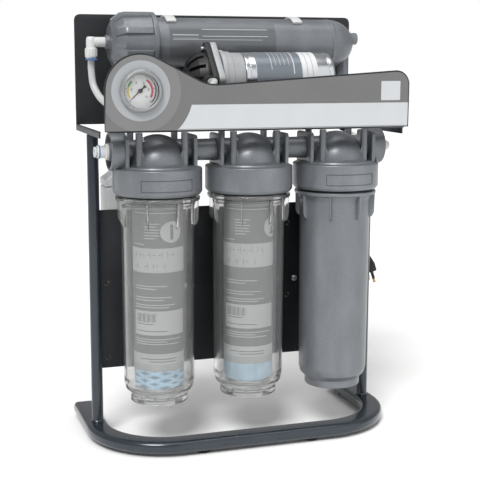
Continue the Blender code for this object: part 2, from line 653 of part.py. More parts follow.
def make_bowl(number, x, paint):
    """Heights run down from the top of the collar, so the neck stands inside the collar."""
    neck_top = -SOCKET_ROOF - 0.0014
    under_collar = -COLLAR_HEIGHT - 0.0012
    flange_low = under_collar - BOWL_FLANGE_THICK
    side_low, foot_top = -BOWL_LENGTH + BOWL_FOOT_HEIGHT + 0.0085, -BOWL_LENGTH + BOWL_FOOT_HEIGHT
    low_radius = BOWL_RADIUS - BOWL_DRAFT
    groove_in, groove_out = ring_seat()
    groove_low = neck_top - 2 * RING_RADIUS + 0.0008
    profile = [(groove_out, neck_top), (BOWL_NECK, neck_top), (BOWL_NECK, under_collar),
               (BOWL_FLANGE, under_collar),
               (BOWL_FLANGE, flange_low + 0.0012), (BOWL_FLANGE - 0.0030, flange_low),
               (BOWL_RADIUS, flange_low - 0.004), (low_radius, side_low)]
    profile += arc(low_radius - 0.0085, side_low, 0.0085, -45, -75, 1)
    profile += [(BOWL_FOOT_RADIUS, foot_top), (BOWL_FOOT_RADIUS, -BOWL_LENGTH), (0, -BOWL_LENGTH)]
    floor = -BOWL_LENGTH + 0.0040 + BOWL_WALL
    stand, spigot = -CARTRIDGE_FOOT - GAP, SPIGOT_RADIUS
    inner_low, inner_top = low_radius - BOWL_WALL, BOWL_RADIUS - BOWL_WALL
    profile += [(0, stand + 0.0085), (spigot, stand + 0.0085), (spigot, stand), (spigot + 0.010, stand),
                (spigot + 0.010, floor), (inner_low - 0.008, floor),
                (inner_low, floor + 0.008), (inner_top, under_collar), (inner_top, neck_top),
                (groove_in, neck_top),
                (groove_in, groove_low), (groove_out, groove_low)]
    bowl = turned(f"bowl_{number}", profile, paint, (x, HOUSING_Y, COLLAR_TOP), HALF_SIDE,
                  HOUSING_SIDES, ring=True)
    join(bowl, lugs(f"lugs_{number}", (x, HOUSING_Y, COLLAR_TOP), flange_low))


def ring_seat():
    middle = (BOWL_NECK + BOWL_RADIUS - BOWL_WALL) / 2
    half = RING_RADIUS + 0.0004
    return middle - half, middle + half


def lugs(name, at, flange_low):
    """Wrench lugs round the bowl under its flange, each with a slanted foot."""
    mesh = bpy.data.meshes.new(name)
    form = bmesh.new()
    for i in range(LUG_COUNT):
        angle = 2 * pi * (i + 0.35) / LUG_COUNT
        made = bmesh.ops.create_cube(form, size=1.0)["verts"]
        inner, outer = BOWL_RADIUS - 0.0022, LUG_REACH
        for vert in made:
            radial = outer if vert.co.x > 0 else inner
            low = flange_low - LUG_LENGTH + (0.005 if vert.co.x > 0 else 0.0)
            height = flange_low + 0.001 if vert.co.z > 0 else low
            side = LUG_THICK / 2 * (1 if vert.co.y > 0 else -1)
            vert.co = (radial * cos(angle) - side * sin(angle), radial * sin(angle) + side * cos(angle),
                       height)
    form.to_mesh(mesh)
    form.free()
    return place(bpy.data.objects.new(name, mesh), None, at, group=guides)


def make_cartridge(number, x, paint):
    low, high = -CARTRIDGE_FOOT, -CARTRIDGE_FOOT + CARTRIDGE_LENGTH
    profile = [(CARTRIDGE_RADIUS - 0.001, high), (CARTRIDGE_RADIUS, high - 0.001),
               (CARTRIDGE_RADIUS, low + 0.001),
               (CARTRIDGE_RADIUS - 0.001, low), (CARTRIDGE_BORE, low), (CARTRIDGE_BORE, high)]
    turned(f"cartridge_{number}", profile, paint, (x, HOUSING_Y, COLLAR_TOP), HALF_SIDE, HOUSING_SIDES,
           ring=True)


def make_ring(number, x):
    groove_in, groove_out = ring_seat()
    height = -SOCKET_ROOF - 0.0014 + RING_RADIUS * -1 + 0.0008 + GAP
    profile = arc((groove_in + groove_out) / 2, height, RING_RADIUS, 90, -198, 4)
    turned(f"bowl_seal_{number}", profile, RUBBER, (x, HOUSING_Y, COLLAR_TOP), HALF_SIDE, HOUSING_SIDES,
           ring=True)


def make_inlet():
    """A straight push-fit in the left end port: its body, and the collet that slides in its mouth."""
    at, turn = (0, HOUSING_Y, PORT_Z), (0, -pi / 2, 0)
    root, face, mouth_end = END_FACE_X - 0.0125, END_FACE_X, END_FACE_X + FITTING_REACH
    mouth = COLLET_RADIUS - 0.0015 + RUN
    profile = [(mouth, mouth_end), (FITTING_RADIUS, mouth_end), (FITTING_RADIUS, face + 0.0045),
               (FITTING_RADIUS + 0.0022, face + 0.0035), (FITTING_RADIUS + 0.0022, face + GAP),
               (FITTING_RADIUS, face + GAP), (FITTING_RADIUS, root), (TUBE_RADIUS, root),
               (TUBE_RADIUS, face + 0.003),
               (mouth, face + 0.003)]
    turned("inlet_fitting", profile, WHITE, at, turn, 20, ring=True)
    inner, bore, lip = mouth - RUN, TUBE_RADIUS - 0.0002, mouth_end + COLLET_TRAVEL + 0.0003
    profile = [(COLLET_RADIUS, lip + 0.0016), (COLLET_RADIUS, lip), (inner, lip), (inner, face + 0.0055),
               (bore, face + 0.0055), (bore, lip + 0.0016)]
    turned("inlet_collet", profile, WHITE, at, turn, 20, ring=True)


def make_outlet():
    """Push-fit elbow in the right end port, turning back to the suction hose."""
    root, face = END_FACE_X - 0.0125, END_FACE_X
    elbow = turned("outlet_elbow", [(0, OUTLET_X + 0.0078), (0.0050, OUTLET_X + 0.0078),
                                    (FITTING_RADIUS, OUTLET_X),
                                    (FITTING_RADIUS, root), (0, root)],
                   WHITE, (0, HOUSING_Y, PORT_Z), ALONG_X, 20)
    join(elbow, disc("outlet_leg", 0.0066, 0.0, OUTLET_REACH, None, (OUTLET_X, HOUSING_Y, PORT_Z),
                     TO_BACK, 20,
                     group=guides))
    cut(elbow, disc("outlet_mouth", TUBE_RADIUS + GAP, OUTLET_REACH - 0.010, OUTLET_REACH + 0.010, None,
                    (OUTLET_X, HOUSING_Y, PORT_Z), TO_BACK, 20, group=guides))


def make_housings():
    paints = {1: CLEAR, 2: CLEAR, 3: GREY_PLASTIC}
    for number, x in zip((1, 2, 3), HOUSING_XS):
        make_head(number, x)
        make_bowl(number, x, paints[number])
        make_cartridge(number, x, BLUE if number < 3 else WHITE)
        make_ring(number, x)
    make_coupling(1, -HOUSING_PITCH / 2)
    make_coupling(2, HOUSING_PITCH / 2)
    make_inlet()
    make_outlet()


# membrane vessel ----------------------------------------------------------------------------------------

def make_vessel():
    """Turned about its own Z, which points right; heights are X positions."""
    at = (0, VESSEL_Y, VESSEL_Z)
    open_end, inner = CAP_RIGHT_X - 0.022, VESSEL_RADIUS - VESSEL_WALL
    dome = VESSEL_END_X - VESSEL_SEAM_X
    end = [(VESSEL_RADIUS * sin(radians(a)), VESSEL_SEAM_X + 0.004 + (dome - 0.004) * cos(radians(a)))
           for a in (0, 22, 45, 68, 90)]
    outside = end + [(VESSEL_RADIUS, open_end), (inner, open_end)]
    inside = [(inner, VESSEL_SEAM_X), (inner * 0.8, VESSEL_SEAM_X + dome * 0.55),
              (0, VESSEL_SEAM_X + dome * 0.8)]
    vessel = turned("membrane_vessel", outside + inside, GREY_PLASTIC, at, ALONG_X, 24)
    join(vessel, disc("upper_port", 0.0085, VESSEL_SEAM_X + dome * 0.45, UPPER_PORT_X, None,
                      (0, VESSEL_Y, UPPER_PORT_Z), ALONG_X, 16, group=guides))
    join(vessel, disc("lower_port", 0.0100, LOWER_PORT_Z, VESSEL_Z - 0.020, None,
                      (LOWER_PORT_X, VESSEL_Y, 0),
                      steps=16, group=guides))
    cut(vessel, disc("upper_bore", TUBE_RADIUS, VESSEL_SEAM_X + dome * 0.4, UPPER_PORT_X + 0.01, None,
                     (0, VESSEL_Y, UPPER_PORT_Z), ALONG_X, 12, group=guides))
    cut(vessel, disc("lower_bore", TUBE_RADIUS, LOWER_PORT_Z - 0.01, VESSEL_Z - 0.010, None,
                     (LOWER_PORT_X, VESSEL_Y, 0), steps=12, group=guides))
    seat = CAP_RIGHT_X - 0.013
    ring("membrane_seal", VESSEL_RADIUS + GAP + 0.0024, VESSEL_RADIUS + GAP, seat - 0.0012,
         seat + 0.0012, RUBBER,
         at, ALONG_X, 24)
    start = -0.1200
    disc("membrane_element", ELEMENT_RADIUS, start, start + ELEMENT_LENGTH, WHITE, at, ALONG_X, 20)


def make_cap():
    """Screw cap of the vessel, with grip ribs and the inlet boss at its end."""
    at = (0, VESSEL_Y, VESSEL_Z)
    body = CAP_RADIUS - 0.0014
    inner, depth = VESSEL_RADIUS + 0.0030 + GAP, CAP_LEFT_X + 0.020
    profile = [(inner, CAP_RIGHT_X), (body - 0.0016, CAP_RIGHT_X), (body, CAP_RIGHT_X - 0.0016),
               (body, CAP_LEFT_X + 0.012)]
    profile += arc(body - 0.012, CAP_LEFT_X + 0.012, 0.012, -25, -70, 1)
    profile += [(0.0150, CAP_LEFT_X - 0.002), (0.0095, CAP_LEFT_X - 0.0052),
                (0.0058, CAP_LEFT_X - 0.0052),
                (0.0058, CAP_LEFT_X + 0.016), (inner - 0.004, depth - 0.004), (inner, depth)]
    cap = turned("membrane_cap", profile, GREY_PLASTIC, at, ALONG_X, 24, ring=True)
    mesh = bpy.data.meshes.new("cap_ribs")
    form = bmesh.new()
    for i in range(CAP_RIB_COUNT):
        angle = 2 * pi * i / CAP_RIB_COUNT
        for vert in bmesh.ops.create_cube(form, size=1.0)["verts"]:
            radial = CAP_RADIUS - 0.0010 if vert.co.x > 0 else body - 0.002
            height = CAP_RIGHT_X - 0.004 if vert.co.z > 0 else CAP_LEFT_X + 0.012
            side = 0.0045 * (1 if vert.co.y > 0 else -1)
            vert.co = (radial * cos(angle) - side * sin(angle), radial * sin(angle) + side * cos(angle),
                       height)
    form.to_mesh(mesh)
    form.free()
    join(cap, place(bpy.data.objects.new("cap_ribs", mesh), None, at, ALONG_X, guides))


def make_elbow():
    """Push-fit elbow from the cap's inlet boss, turning down to the feed hose."""
    boss = CAP_LEFT_X - 0.0052
    elbow = turned("cap_elbow", [(0, boss + 0.010), (0.0055, boss + 0.010), (0.0055, boss - GAP),
                                 (0.0072, boss - GAP), (0.0072, ELBOW_X), (0, ELBOW_X)],
                   WHITE, (0, VESSEL_Y, VESSEL_Z), ALONG_X, 16)
    down = VESSEL_Z - 0.0225
    join(elbow, disc("elbow_leg", 0.0080, down, VESSEL_Z + 0.0072, None, (ELBOW_X, VESSEL_Y, 0), steps=16,
                     group=guides))
    cut(elbow, disc("elbow_mouth", TUBE_RADIUS + GAP, down - 0.01, down + 0.010, None,
                    (ELBOW_X, VESSEL_Y, 0),
                    steps=16, group=guides))


def make_clips():
    """Sprung clips that hold the vessel to the back plate."""
    for name, x in zip(("vessel_clip_left", "vessel_clip_right"), CLIP_XS):
        inner = (VESSEL_RADIUS + GAP) / cos(pi / 24)
        outer = inner + CLIP_THICK
        hoop = arc(VESSEL_Y, VESSEL_Z, outer, -52, 128, 12) + arc(VESSEL_Y, VESSEL_Z, inner, 128, -52, 12)
        clip = solid_copy(flat(name, hoop, CLIP_WIDTH, WHITE, (x, 0, 0), (pi / 2, 0, pi / 2)))
        join(clip, box(name + "_foot", (x - CLIP_WIDTH / 2, VESSEL_Y + inner + 0.0006, VESSEL_Z - 0.012),
                       (x + CLIP_WIDTH / 2, BACK_PLATE_Y - GAP, VESSEL_Z + 0.012), None, group=guides))


# booster pump -------------------------------------------------------------------------------------------

def make_pump():
    at = (0, PUMP_Y, PUMP_Z)
    head_right = ADAPTOR_LEFT_X - PUMP_FLANGE - 2 * GAP - 0.0035
    head = [(0, PUMP_HEAD_LEFT_X), (0.012, PUMP_HEAD_LEFT_X), (0.026, PUMP_HEAD_LEFT_X + 0.006),
            (0.036, PUMP_HEAD_LEFT_X + 0.016), (PUMP_HEAD_RADIUS - 0.003, head_right - 0.010),
            (PUMP_HEAD_RADIUS, head_right - 0.008), (PUMP_HEAD_RADIUS, head_right), (0, head_right)]
    head = list(reversed(head))
    body = turned("pump_head", head, BLACK_PLASTIC, at, ALONG_X, 24)
    join(body, disc("pump_outlet", 0.0085, 0.010, PUMP_PORT_REACH, None,
                    (PUMP_PORT_X, PUMP_Y, PUMP_OUTLET_Z),
                    TO_FRONT, 20, group=guides))
    join(body, disc("pump_inlet", 0.0085, 0.010, PUMP_PORT_REACH, None,
                    (PUMP_PORT_X, PUMP_Y, PUMP_INLET_Z),
                    TO_BACK, 20, group=guides))
    flange_left = ADAPTOR_LEFT_X - GAP - PUMP_FLANGE
    disc("pump_flange", PUMP_FLANGE_RADIUS, flange_left, ADAPTOR_LEFT_X - GAP, WHITE, at, ALONG_X, 24)
    right = MOTOR_LEFT_X - GAP
    profile = [(0.0200, right), (ADAPTOR_RADIUS - 0.0030, right),
               (ADAPTOR_RADIUS - 0.0030, right - 0.012),
               (ADAPTOR_RADIUS, right - 0.014), (ADAPTOR_RADIUS, ADAPTOR_LEFT_X),
               (0.0200, ADAPTOR_LEFT_X)]
    turned("pump_adaptor", profile, WHITE, at, ALONG_X, 24, ring=True)
    inner, bush = MOTOR_RADIUS - MOTOR_WALL, SHAFT_RADIUS + RUN
    can = [(0.0065, MOTOR_RIGHT_X + 0.003), (0.0085, MOTOR_RIGHT_X + 0.003), (0.0085, MOTOR_RIGHT_X),
           (MOTOR_RADIUS - 0.0035, MOTOR_RIGHT_X), (MOTOR_RADIUS, MOTOR_RIGHT_X - 0.0035),
           (MOTOR_RADIUS, MOTOR_LEFT_X), (bush, MOTOR_LEFT_X), (bush, MOTOR_LEFT_X + 0.006),
           (inner, MOTOR_LEFT_X + 0.006), (inner, MOTOR_RIGHT_X - 0.006), (0.0065, MOTOR_RIGHT_X - 0.006)]
    turned("pump_motor", can, STEEL, at, ALONG_X, 24, ring=True)
    low, high = MOTOR_LEFT_X + 0.016, MOTOR_RIGHT_X - 0.016
    rotor = [(0, MOTOR_RIGHT_X), (SHAFT_RADIUS, MOTOR_RIGHT_X), (SHAFT_RADIUS, high),
             (ROTOR_RADIUS, high),
             (ROTOR_RADIUS, low), (SHAFT_RADIUS, low), (SHAFT_RADIUS, ADAPTOR_LEFT_X + 0.003),
             (0, ADAPTOR_LEFT_X + 0.003)]
    rotor_piece = turned("pump_rotor", rotor, STEEL, at, ALONG_X, 16)
    crank = ADAPTOR_LEFT_X + 0.006
    join(rotor_piece, disc("wobble_hub", 0.0120, crank, crank + 0.012, None,
                           (0, PUMP_Y + 0.0025, PUMP_Z), ALONG_X,
                           16, group=guides))
    hug = MOTOR_RADIUS + GAP
    low = SHELF_HEIGHT + GAP
    outline = [(PUMP_Y - CRADLE_HALF, low),
               (PUMP_Y + CRADLE_HALF, low)] + arc(PUMP_Y, PUMP_Z, hug, -35, -145, 16)
    flat("pump_cradle", outline, CRADLE_LENGTH, BLACK_PLASTIC, (CRADLE_X, 0, 0), (pi / 2, 0, pi / 2))


def make_hoses():
    """The feed hose from pump to vessel, and the suction hose from the last housing to the pump."""
    shelf, mouth = SHELF_HEIGHT, VESSEL_Z - 0.0225
    feed = [(ELBOW_X, VESSEL_Y, mouth + 0.0092), (ELBOW_X, VESSEL_Y, mouth - 0.003),
            (ELBOW_X, VESSEL_Y, mouth - 0.016),
            (-0.1890, 0.045, shelf + 0.0517), (-0.178, 0.022, shelf + 0.0317),
            (-0.152, -0.018, shelf + 0.0197), (-0.120, -0.060, shelf + 0.0217),
            (-0.092, -0.0860, shelf + 0.0347), (-0.0715, -0.0950, shelf + 0.0517), (PUMP_PORT_X, PUMP_Y - 0.0640, PUMP_OUTLET_Z),
            (PUMP_PORT_X, PUMP_Y - PUMP_PORT_REACH - GAP, PUMP_OUTLET_Z)]
    suction_start = HOUSING_Y + OUTLET_REACH - 0.0096
    suction = [(OUTLET_X, suction_start, PORT_Z), (OUTLET_X, suction_start + 0.006, PORT_Z),
               (OUTLET_X, suction_start + 0.013, PORT_Z), (0.1940, -0.007, PORT_Z + 0.001),
               (0.176, 0.009, PORT_Z + 0.010), (*HOSE_HOLE, SHELF_UNDER - 0.006),
               (*HOSE_HOLE, shelf + 0.008), (0.158, 0.018, shelf + 0.0237), (0.135, 0.034, shelf + 0.0347),
               (0.095, 0.046, shelf + 0.0417), (0.040, 0.054, PUMP_INLET_Z), (-0.010, 0.058, PUMP_INLET_Z),
               (-0.042, 0.056, PUMP_INLET_Z), (PUMP_PORT_X, PUMP_Y + 0.0640, PUMP_INLET_Z),
               (PUMP_PORT_X, PUMP_Y + PUMP_PORT_REACH + GAP, PUMP_INLET_Z)]
    tube("feed_hose", smooth_route(feed, 0.015), TUBE_RADIUS, WHITE)
    tube("suction_hose", smooth_route(suction, 0.015), TUBE_RADIUS, WHITE)


# power supply and cord ----------------------------------------------------------------------------------

def make_supply():
    """Power supply box behind the rear panel, its lid above a seam, and the cord's gland."""
    front = REAR_PANEL_Y + SHEET + GAP
    left, right = SUPPLY_LEFT_X, SUPPLY_LEFT_X + SUPPLY_WIDTH
    low, seam = SUPPLY_TOP - SUPPLY_HEIGHT, SUPPLY_TOP - SUPPLY_LID
    chamfer = 0.012
    body = [(left, low), (right, low), (right, seam - GAP), (left, seam - GAP)]
    lid = [(left, seam), (right, seam), (right, SUPPLY_TOP), (left + chamfer, SUPPLY_TOP),
           (left, SUPPLY_TOP - chamfer * 0.7)]
    middle = front + SUPPLY_DEPTH / 2
    supply = solid_copy(flat("power_supply", body, SUPPLY_DEPTH, WHITE, (0, middle, 0), TO_FRONT))
    flat("power_supply_lid", lid, SUPPLY_DEPTH, WHITE, (0, middle, 0), TO_FRONT)
    gland_at = (right, middle, SUPPLY_TOP - 0.075)
    cut(supply, disc("gland_hole", 0.0062, -0.012, 0.01, None, gland_at, ALONG_X, 16, group=guides))
    profile = [(CORD_RADIUS + GAP, 0.020), (0.0040, 0.020), (0.0058, 0.0042), (0.0085, 0.0038),
               (0.0085, GAP),
               (0.0059, GAP), (0.0059, -0.010), (CORD_RADIUS + GAP, -0.010)]
    turned("cord_gland", profile, BLACK_PLASTIC, gland_at, ALONG_X, 16, ring=True)


def plug_spot(along, across=0.0, deep=0.0):
    """A place on the plug: along its axis up from its face, across it to the right, and deeper to the back."""
    up, right = Vector((-sin(PLUG_TILT), 0, cos(PLUG_TILT))), Vector((cos(PLUG_TILT), 0, sin(PLUG_TILT)))
    return Vector(PLUG_FACE) + up * along + right * across + Vector((0, deep, 0))


def make_plug():
    """Flat two-pin plug, hanging with its pins down; its width runs front to back."""
    turn = (0, -PLUG_TILT, 0)
    outline = [(-PLUG_HALF, 0), (PLUG_HALF, 0), (PLUG_HALF, 0.010), (0.0060, 0.028),
               (0.0040, PLUG_LENGTH),
               (-0.0040, PLUG_LENGTH), (-0.0060, 0.028), (-PLUG_HALF, 0.010)]
    plug = solid_copy(flat("plug", outline, PLUG_THICK, BLACK_PLASTIC))
    bpy.context.view_layer.update()
    for vert in plug.data.vertices:
        across, along, deep = vert.co
        narrow = 1.0 if along < 0.012 else 0.62
        vert.co = plug_spot(along, deep * narrow, across)
    for side, word in ((-1, "front"), (1, "back")):
        root = plug_spot(0.004, 0.0, side * PLUG_PITCH / 2)
        join(plug, disc("pin_" + word, 0.0020, -PLUG_PIN - 0.004, 0.0, None, root, turn, 12,
                        group=guides))


def make_cord():
    """The mains lead: out of the gland, a coil hung on a peg behind the rear panel, and a tail to the plug."""
    gland_y = REAR_PANEL_Y + SHEET + GAP + SUPPLY_DEPTH / 2
    gland_tip = SUPPLY_LEFT_X + SUPPLY_WIDTH + 0.020
    coil_y = REAR_PANEL_Y + SHEET + COIL_STANDOFF + COIL_HALF_DEPTH
    outer, inner = COIL_RADIUS + COIL_HALF_HEIGHT, COIL_RADIUS - COIL_HALF_HEIGHT
    ring("cord_coil", outer, inner, -COIL_HALF_DEPTH, COIL_HALF_DEPTH, BLACK_PLASTIC,
         (COIL_X, coil_y, COIL_Z),
         TO_FRONT, 28)

    def on_coil(degrees, away):
        """A place in the coil's plane, at an angle round it and this far outside it."""
        return (COIL_X + (outer + away) * cos(radians(degrees)), coil_y,
                COIL_Z + (outer + away) * sin(radians(degrees)))

    lead = [(gland_tip + GAP, gland_y, SUPPLY_TOP - 0.075),
            (gland_tip + 0.018, gland_y, SUPPLY_TOP - 0.075),
            (-0.040, 0.040, 0.2790), (-0.010, 0.034, 0.268), on_coil(132, 0.012), on_coil(132, GAP)]
    tail = [on_coil(48, GAP), on_coil(48, 0.012), (0.100, 0.0300, 0.2600), (0.140, 0.0300, 0.2690),
            (CLIP_AT[0], CLIP_AT[1], CLIP_AT[2]), (0.192, 0.0325, 0.2745), (0.203, 0.0355, 0.256),
            tuple(plug_spot(PLUG_LENGTH + 0.010)), tuple(plug_spot(PLUG_LENGTH + GAP))]
    tube("cord_lead", smooth_route(lead, 0.013), CORD_RADIUS, BLACK_PLASTIC)
    tube("cord_tail", smooth_route(tail, 0.013), CORD_RADIUS, BLACK_PLASTIC)
    panel_back = REAR_PANEL_Y + SHEET + GAP
    peg_z = COIL_Z + inner - GAP - PEG_RADIUS
    end = coil_y + COIL_HALF_DEPTH - panel_back + 0.002
    turned("cord_peg", [(0, end + 0.003), (PEG_RADIUS + PEG_HEAD, end + 0.003),
                        (PEG_RADIUS + PEG_HEAD, end),
                        (PEG_RADIUS, end), (PEG_RADIUS, 0), (0, 0)],
           BLACK_PLASTIC, (COIL_X, panel_back, peg_z), TO_BACK, 16)
    band, wide = TIE_BAND, TIE_WIDTH
    deep, tall = COIL_HALF_DEPTH + GAP, COIL_HALF_HEIGHT + 0.0006
    tie = box("coil_tie", (COIL_X - wide / 2, coil_y - deep - band, COIL_Z - COIL_RADIUS - tall - band),
              (COIL_X + wide / 2, coil_y + deep + band, COIL_Z - COIL_RADIUS + tall + band),
              BLACK_PLASTIC)
    cut(tie, box("coil_tie_space", (COIL_X - wide, coil_y - deep, COIL_Z - COIL_RADIUS - tall),
                 (COIL_X + wide, coil_y + deep, COIL_Z - COIL_RADIUS + tall), None, group=guides))
    clip = box("cord_clip", (CLIP_AT[0] - 0.004, panel_back, CLIP_AT[2] - 0.007),
               (CLIP_AT[0] + 0.004, CLIP_AT[1] + 0.0055, CLIP_AT[2] + 0.007), BLACK_PLASTIC)
    cut(clip, disc("cord_clip_space", CORD_RADIUS + 0.0016, -0.010, 0.010, None, CLIP_AT, ALONG_X, 12,
                   group=guides))


for build in (make_stand, make_top_bracket, make_rear_panel, make_front_panel, make_gauge, make_housings,
              make_vessel, make_cap, make_elbow, make_clips, make_pump, make_hoses, make_supply,
              make_cord,
              make_plug):
    build()
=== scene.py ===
# Reverse osmosis unit on a tube stand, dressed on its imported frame
from math import pi, sin, cos, tan, radians
import bmesh
import bpy
from mathutils import Matrix, Vector


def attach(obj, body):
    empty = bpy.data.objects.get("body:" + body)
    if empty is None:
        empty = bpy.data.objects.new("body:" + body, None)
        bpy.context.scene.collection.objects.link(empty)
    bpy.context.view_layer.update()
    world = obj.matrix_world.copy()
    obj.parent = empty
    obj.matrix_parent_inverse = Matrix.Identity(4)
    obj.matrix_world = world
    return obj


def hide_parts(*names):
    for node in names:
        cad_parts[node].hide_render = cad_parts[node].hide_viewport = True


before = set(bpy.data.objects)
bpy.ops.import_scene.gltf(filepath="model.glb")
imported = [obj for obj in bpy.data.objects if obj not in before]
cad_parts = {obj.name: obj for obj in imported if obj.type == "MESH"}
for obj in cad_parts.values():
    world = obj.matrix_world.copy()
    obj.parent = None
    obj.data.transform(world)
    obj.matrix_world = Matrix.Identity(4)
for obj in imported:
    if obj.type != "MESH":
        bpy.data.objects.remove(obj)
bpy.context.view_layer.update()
scene = bpy.context.scene
print("frame loaded:", len(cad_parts), "nodes")

# camera
camera = {"place": (-0.47427, -1.43932, 0.52355), "swing": 0.3208, "dip": 0.16773, "roll": 0.0032,
          "lens": 82.44}


def addCamera(c):
    data = bpy.data.cameras.new("camera")
    data.lens, data.sensor_width = c["lens"], 36
    data.clip_start, data.clip_end = 0.05, 50
    forward = Vector((sin(c["swing"]) * cos(c["dip"]), cos(c["swing"]) * cos(c["dip"]), -sin(c["dip"])))
    level = Vector((cos(c["swing"]), -sin(c["swing"]), 0))
    upward = level.cross(forward)
    right = level * cos(c["roll"]) + upward * sin(c["roll"])
    top = upward * cos(c["roll"]) - level * sin(c["roll"])
    obj = bpy.data.objects.new("camera", data)
    turn = Matrix((right, top, -forward)).transposed().to_4x4()
    obj.matrix_world = Matrix.Translation(c["place"]) @ turn
    scene.collection.objects.link(obj)
    scene.camera = obj


addCamera(camera)


# finishes: every one is built from nodes on Object coordinates

def addNode(tree, kind, x=0, y=0, **values):
    node = tree.nodes.new(kind)
    node.location = (x, y)
    for key, value in values.items():
        if key in node.inputs:
            node.inputs[key].default_value = value
        else:
            setattr(node, key, value)
    return node


def makeFinish(name, colour, rough, metal=0.0, grain=(900, 0.05), cloud=(40, 0.06), stretch=(1, 1, 1),
               speck=0.0, coat=0.0, clear=0.0, sheen=0.0, roughCloud=0.06, ior=1.45, depth=0.0004):
    # A moulded, painted or cast surface: soft colour clouds, a fine grain in the bump and uneven gloss.
    made = bpy.data.materials.new(name)
    made.use_nodes = True
    tree = made.node_tree
    shader = tree.nodes["Principled BSDF"]
    shader.inputs["Metallic"].default_value = metal
    shader.inputs["IOR"].default_value = ior
    shader.inputs["Coat Weight"].default_value = coat
    shader.inputs["Coat Roughness"].default_value = 0.12
    shader.inputs["Sheen Weight"].default_value = sheen
    shader.inputs["Transmission Weight"].default_value = clear
    link = tree.links.new
    place = addNode(tree, "ShaderNodeTexCoord", -1300, 0)
    spread = addNode(tree, "ShaderNodeMapping", -1100, 0, Scale=stretch)
    link(place.outputs["Object"], spread.inputs["Vector"])
    soft = addNode(tree, "ShaderNodeTexNoise", -880, 200, Scale=cloud[0], Detail=4.0, Roughness=0.55)
    link(spread.outputs["Vector"], soft.inputs["Vector"])
    ramp = addNode(tree, "ShaderNodeValToRGB", -640, 200)
    low = [max(0.0, c * (1 - cloud[1])) for c in colour]
    high = [min(1.0, c * (1 + cloud[1])) for c in colour]
    ramp.color_ramp.elements[0].position, ramp.color_ramp.elements[1].position = 0.3, 0.7
    ramp.color_ramp.elements[0].color = (*low, 1)
    ramp.color_ramp.elements[1].color = (*high, 1)
    link(soft.outputs["Fac"], ramp.inputs["Fac"])
    colourOut = ramp.outputs["Color"]
    fine = addNode(tree, "ShaderNodeTexNoise", -880, -240, Scale=grain[0], Detail=3.0, Roughness=0.6)
    link(place.outputs["Object"], fine.inputs["Vector"])
    if speck:
        flake = addNode(tree, "ShaderNodeTexVoronoi", -880, 480, Scale=1900.0)
        link(place.outputs["Object"], flake.inputs["Vector"])
        bright = addNode(tree, "ShaderNodeMapRange", -640, 480)
        bright.inputs["From Min"].default_value, bright.inputs["From Max"].default_value = 0.0, 1.0
        bright.inputs["To Min"].default_value, bright.inputs["To Max"].default_value = 1 - speck, 1 + speck
        link(flake.outputs["Color"], bright.inputs["Value"])
        times = addNode(tree, "ShaderNodeVectorMath", -420, 300, operation="MULTIPLY")
        link(colourOut, times.inputs[0])
        link(bright.outputs["Result"], times.inputs[1])
        colourOut = times.outputs["Vector"]
    link(colourOut, shader.inputs["Base Color"])
    gloss = addNode(tree, "ShaderNodeMapRange", -420, -60)
    gloss.inputs["To Min"].default_value = max(0.02, rough - roughCloud)
    gloss.inputs["To Max"].default_value = rough + roughCloud
    patchy = addNode(tree, "ShaderNodeTexNoise", -880, -20, Scale=cloud[0] * 2.3, Detail=5.0)
    link(place.outputs["Object"], patchy.inputs["Vector"])
    link(patchy.outputs["Fac"], gloss.inputs["Value"])
    link(gloss.outputs["Result"], shader.inputs["Roughness"])
    bump = addNode(tree, "ShaderNodeBump", -220, -260, Strength=grain[1], Distance=depth)
    link(fine.outputs["Fac"], bump.inputs["Height"])
    link(bump.outputs["Normal"], shader.inputs["Normal"])
    return made


def makeInk(name, colour, cloud=0.03):
    return makeFinish(name, colour, 0.42, 0.0, (2600, 0.05), (20, cloud))


slatePaint = makeFinish("slatePaint", (0.028, 0.037, 0.048), 0.24, 0.35, (1400, 0.12), (30, 0.10),
                        speck=0.25, coat=0.5)
blackCoat = makeFinish("blackCoat", (0.010, 0.012, 0.015), 0.42, 0.0, (2200, 0.35), (18, 0.25))
shelfCoat = makeFinish("shelfCoat", (0.014, 0.020, 0.030), 0.36, 0.1, (2200, 0.3), (18, 0.2))
# dark grey for the collar frame's raised lines: painted shadow lines along the frame
paintedFrameShadow = makeFinish("paintedFrameShadow", (0.055, 0.060, 0.066), 0.5, 0.1, (1500, 0.2), (40, 0.1))
silverPlastic = makeFinish("silverPlastic", (0.178, 0.190, 0.205), 0.37, 0.40, (1500, 0.30), (22, 0.20),
                           (1.0, 1.0, 0.35), 0.20, 0.15)
clearPlastic = makeFinish("clearPlastic", (0.80, 0.805, 0.80), 0.07, 0.0, (60, 0.02), (12, 0.02),
                          clear=0.95, roughCloud=0.03, ior=1.49)
whitePlastic = makeFinish("whitePlastic", (0.58, 0.59, 0.585), 0.38, 0.0, (1300, 0.1), (60, 0.04))
bezelPlastic = makeFinish("bezelPlastic", (0.27, 0.28, 0.285), 0.26, 0.3, (1300, 0.1), (60, 0.05))
blackPlastic = makeFinish("blackPlastic", (0.014, 0.014, 0.015), 0.42, 0.0, (1500, 0.3), (40, 0.2))
softBlack = makeFinish("softBlack", (0.012, 0.012, 0.012), 0.5, 0.0, (1500, 0.25), (40, 0.2), sheen=0.1)
rubber = makeFinish("rubber", (0.015, 0.015, 0.015), 0.7, 0.0, (1100, 0.4), (60, 0.25))
chrome = makeFinish("chrome", (0.62, 0.64, 0.67), 0.22, 1.0, (500, 0.05), (20, 0.05), (0.2, 1, 1),
                    roughCloud=0.06)
castMetal = makeFinish("castMetal", (0.36, 0.37, 0.38), 0.40, 0.15, (900, 0.3), (50, 0.08))
zinc = makeFinish("zinc", (0.52, 0.53, 0.54), 0.3, 1.0, (1200, 0.1), (150, 0.08))
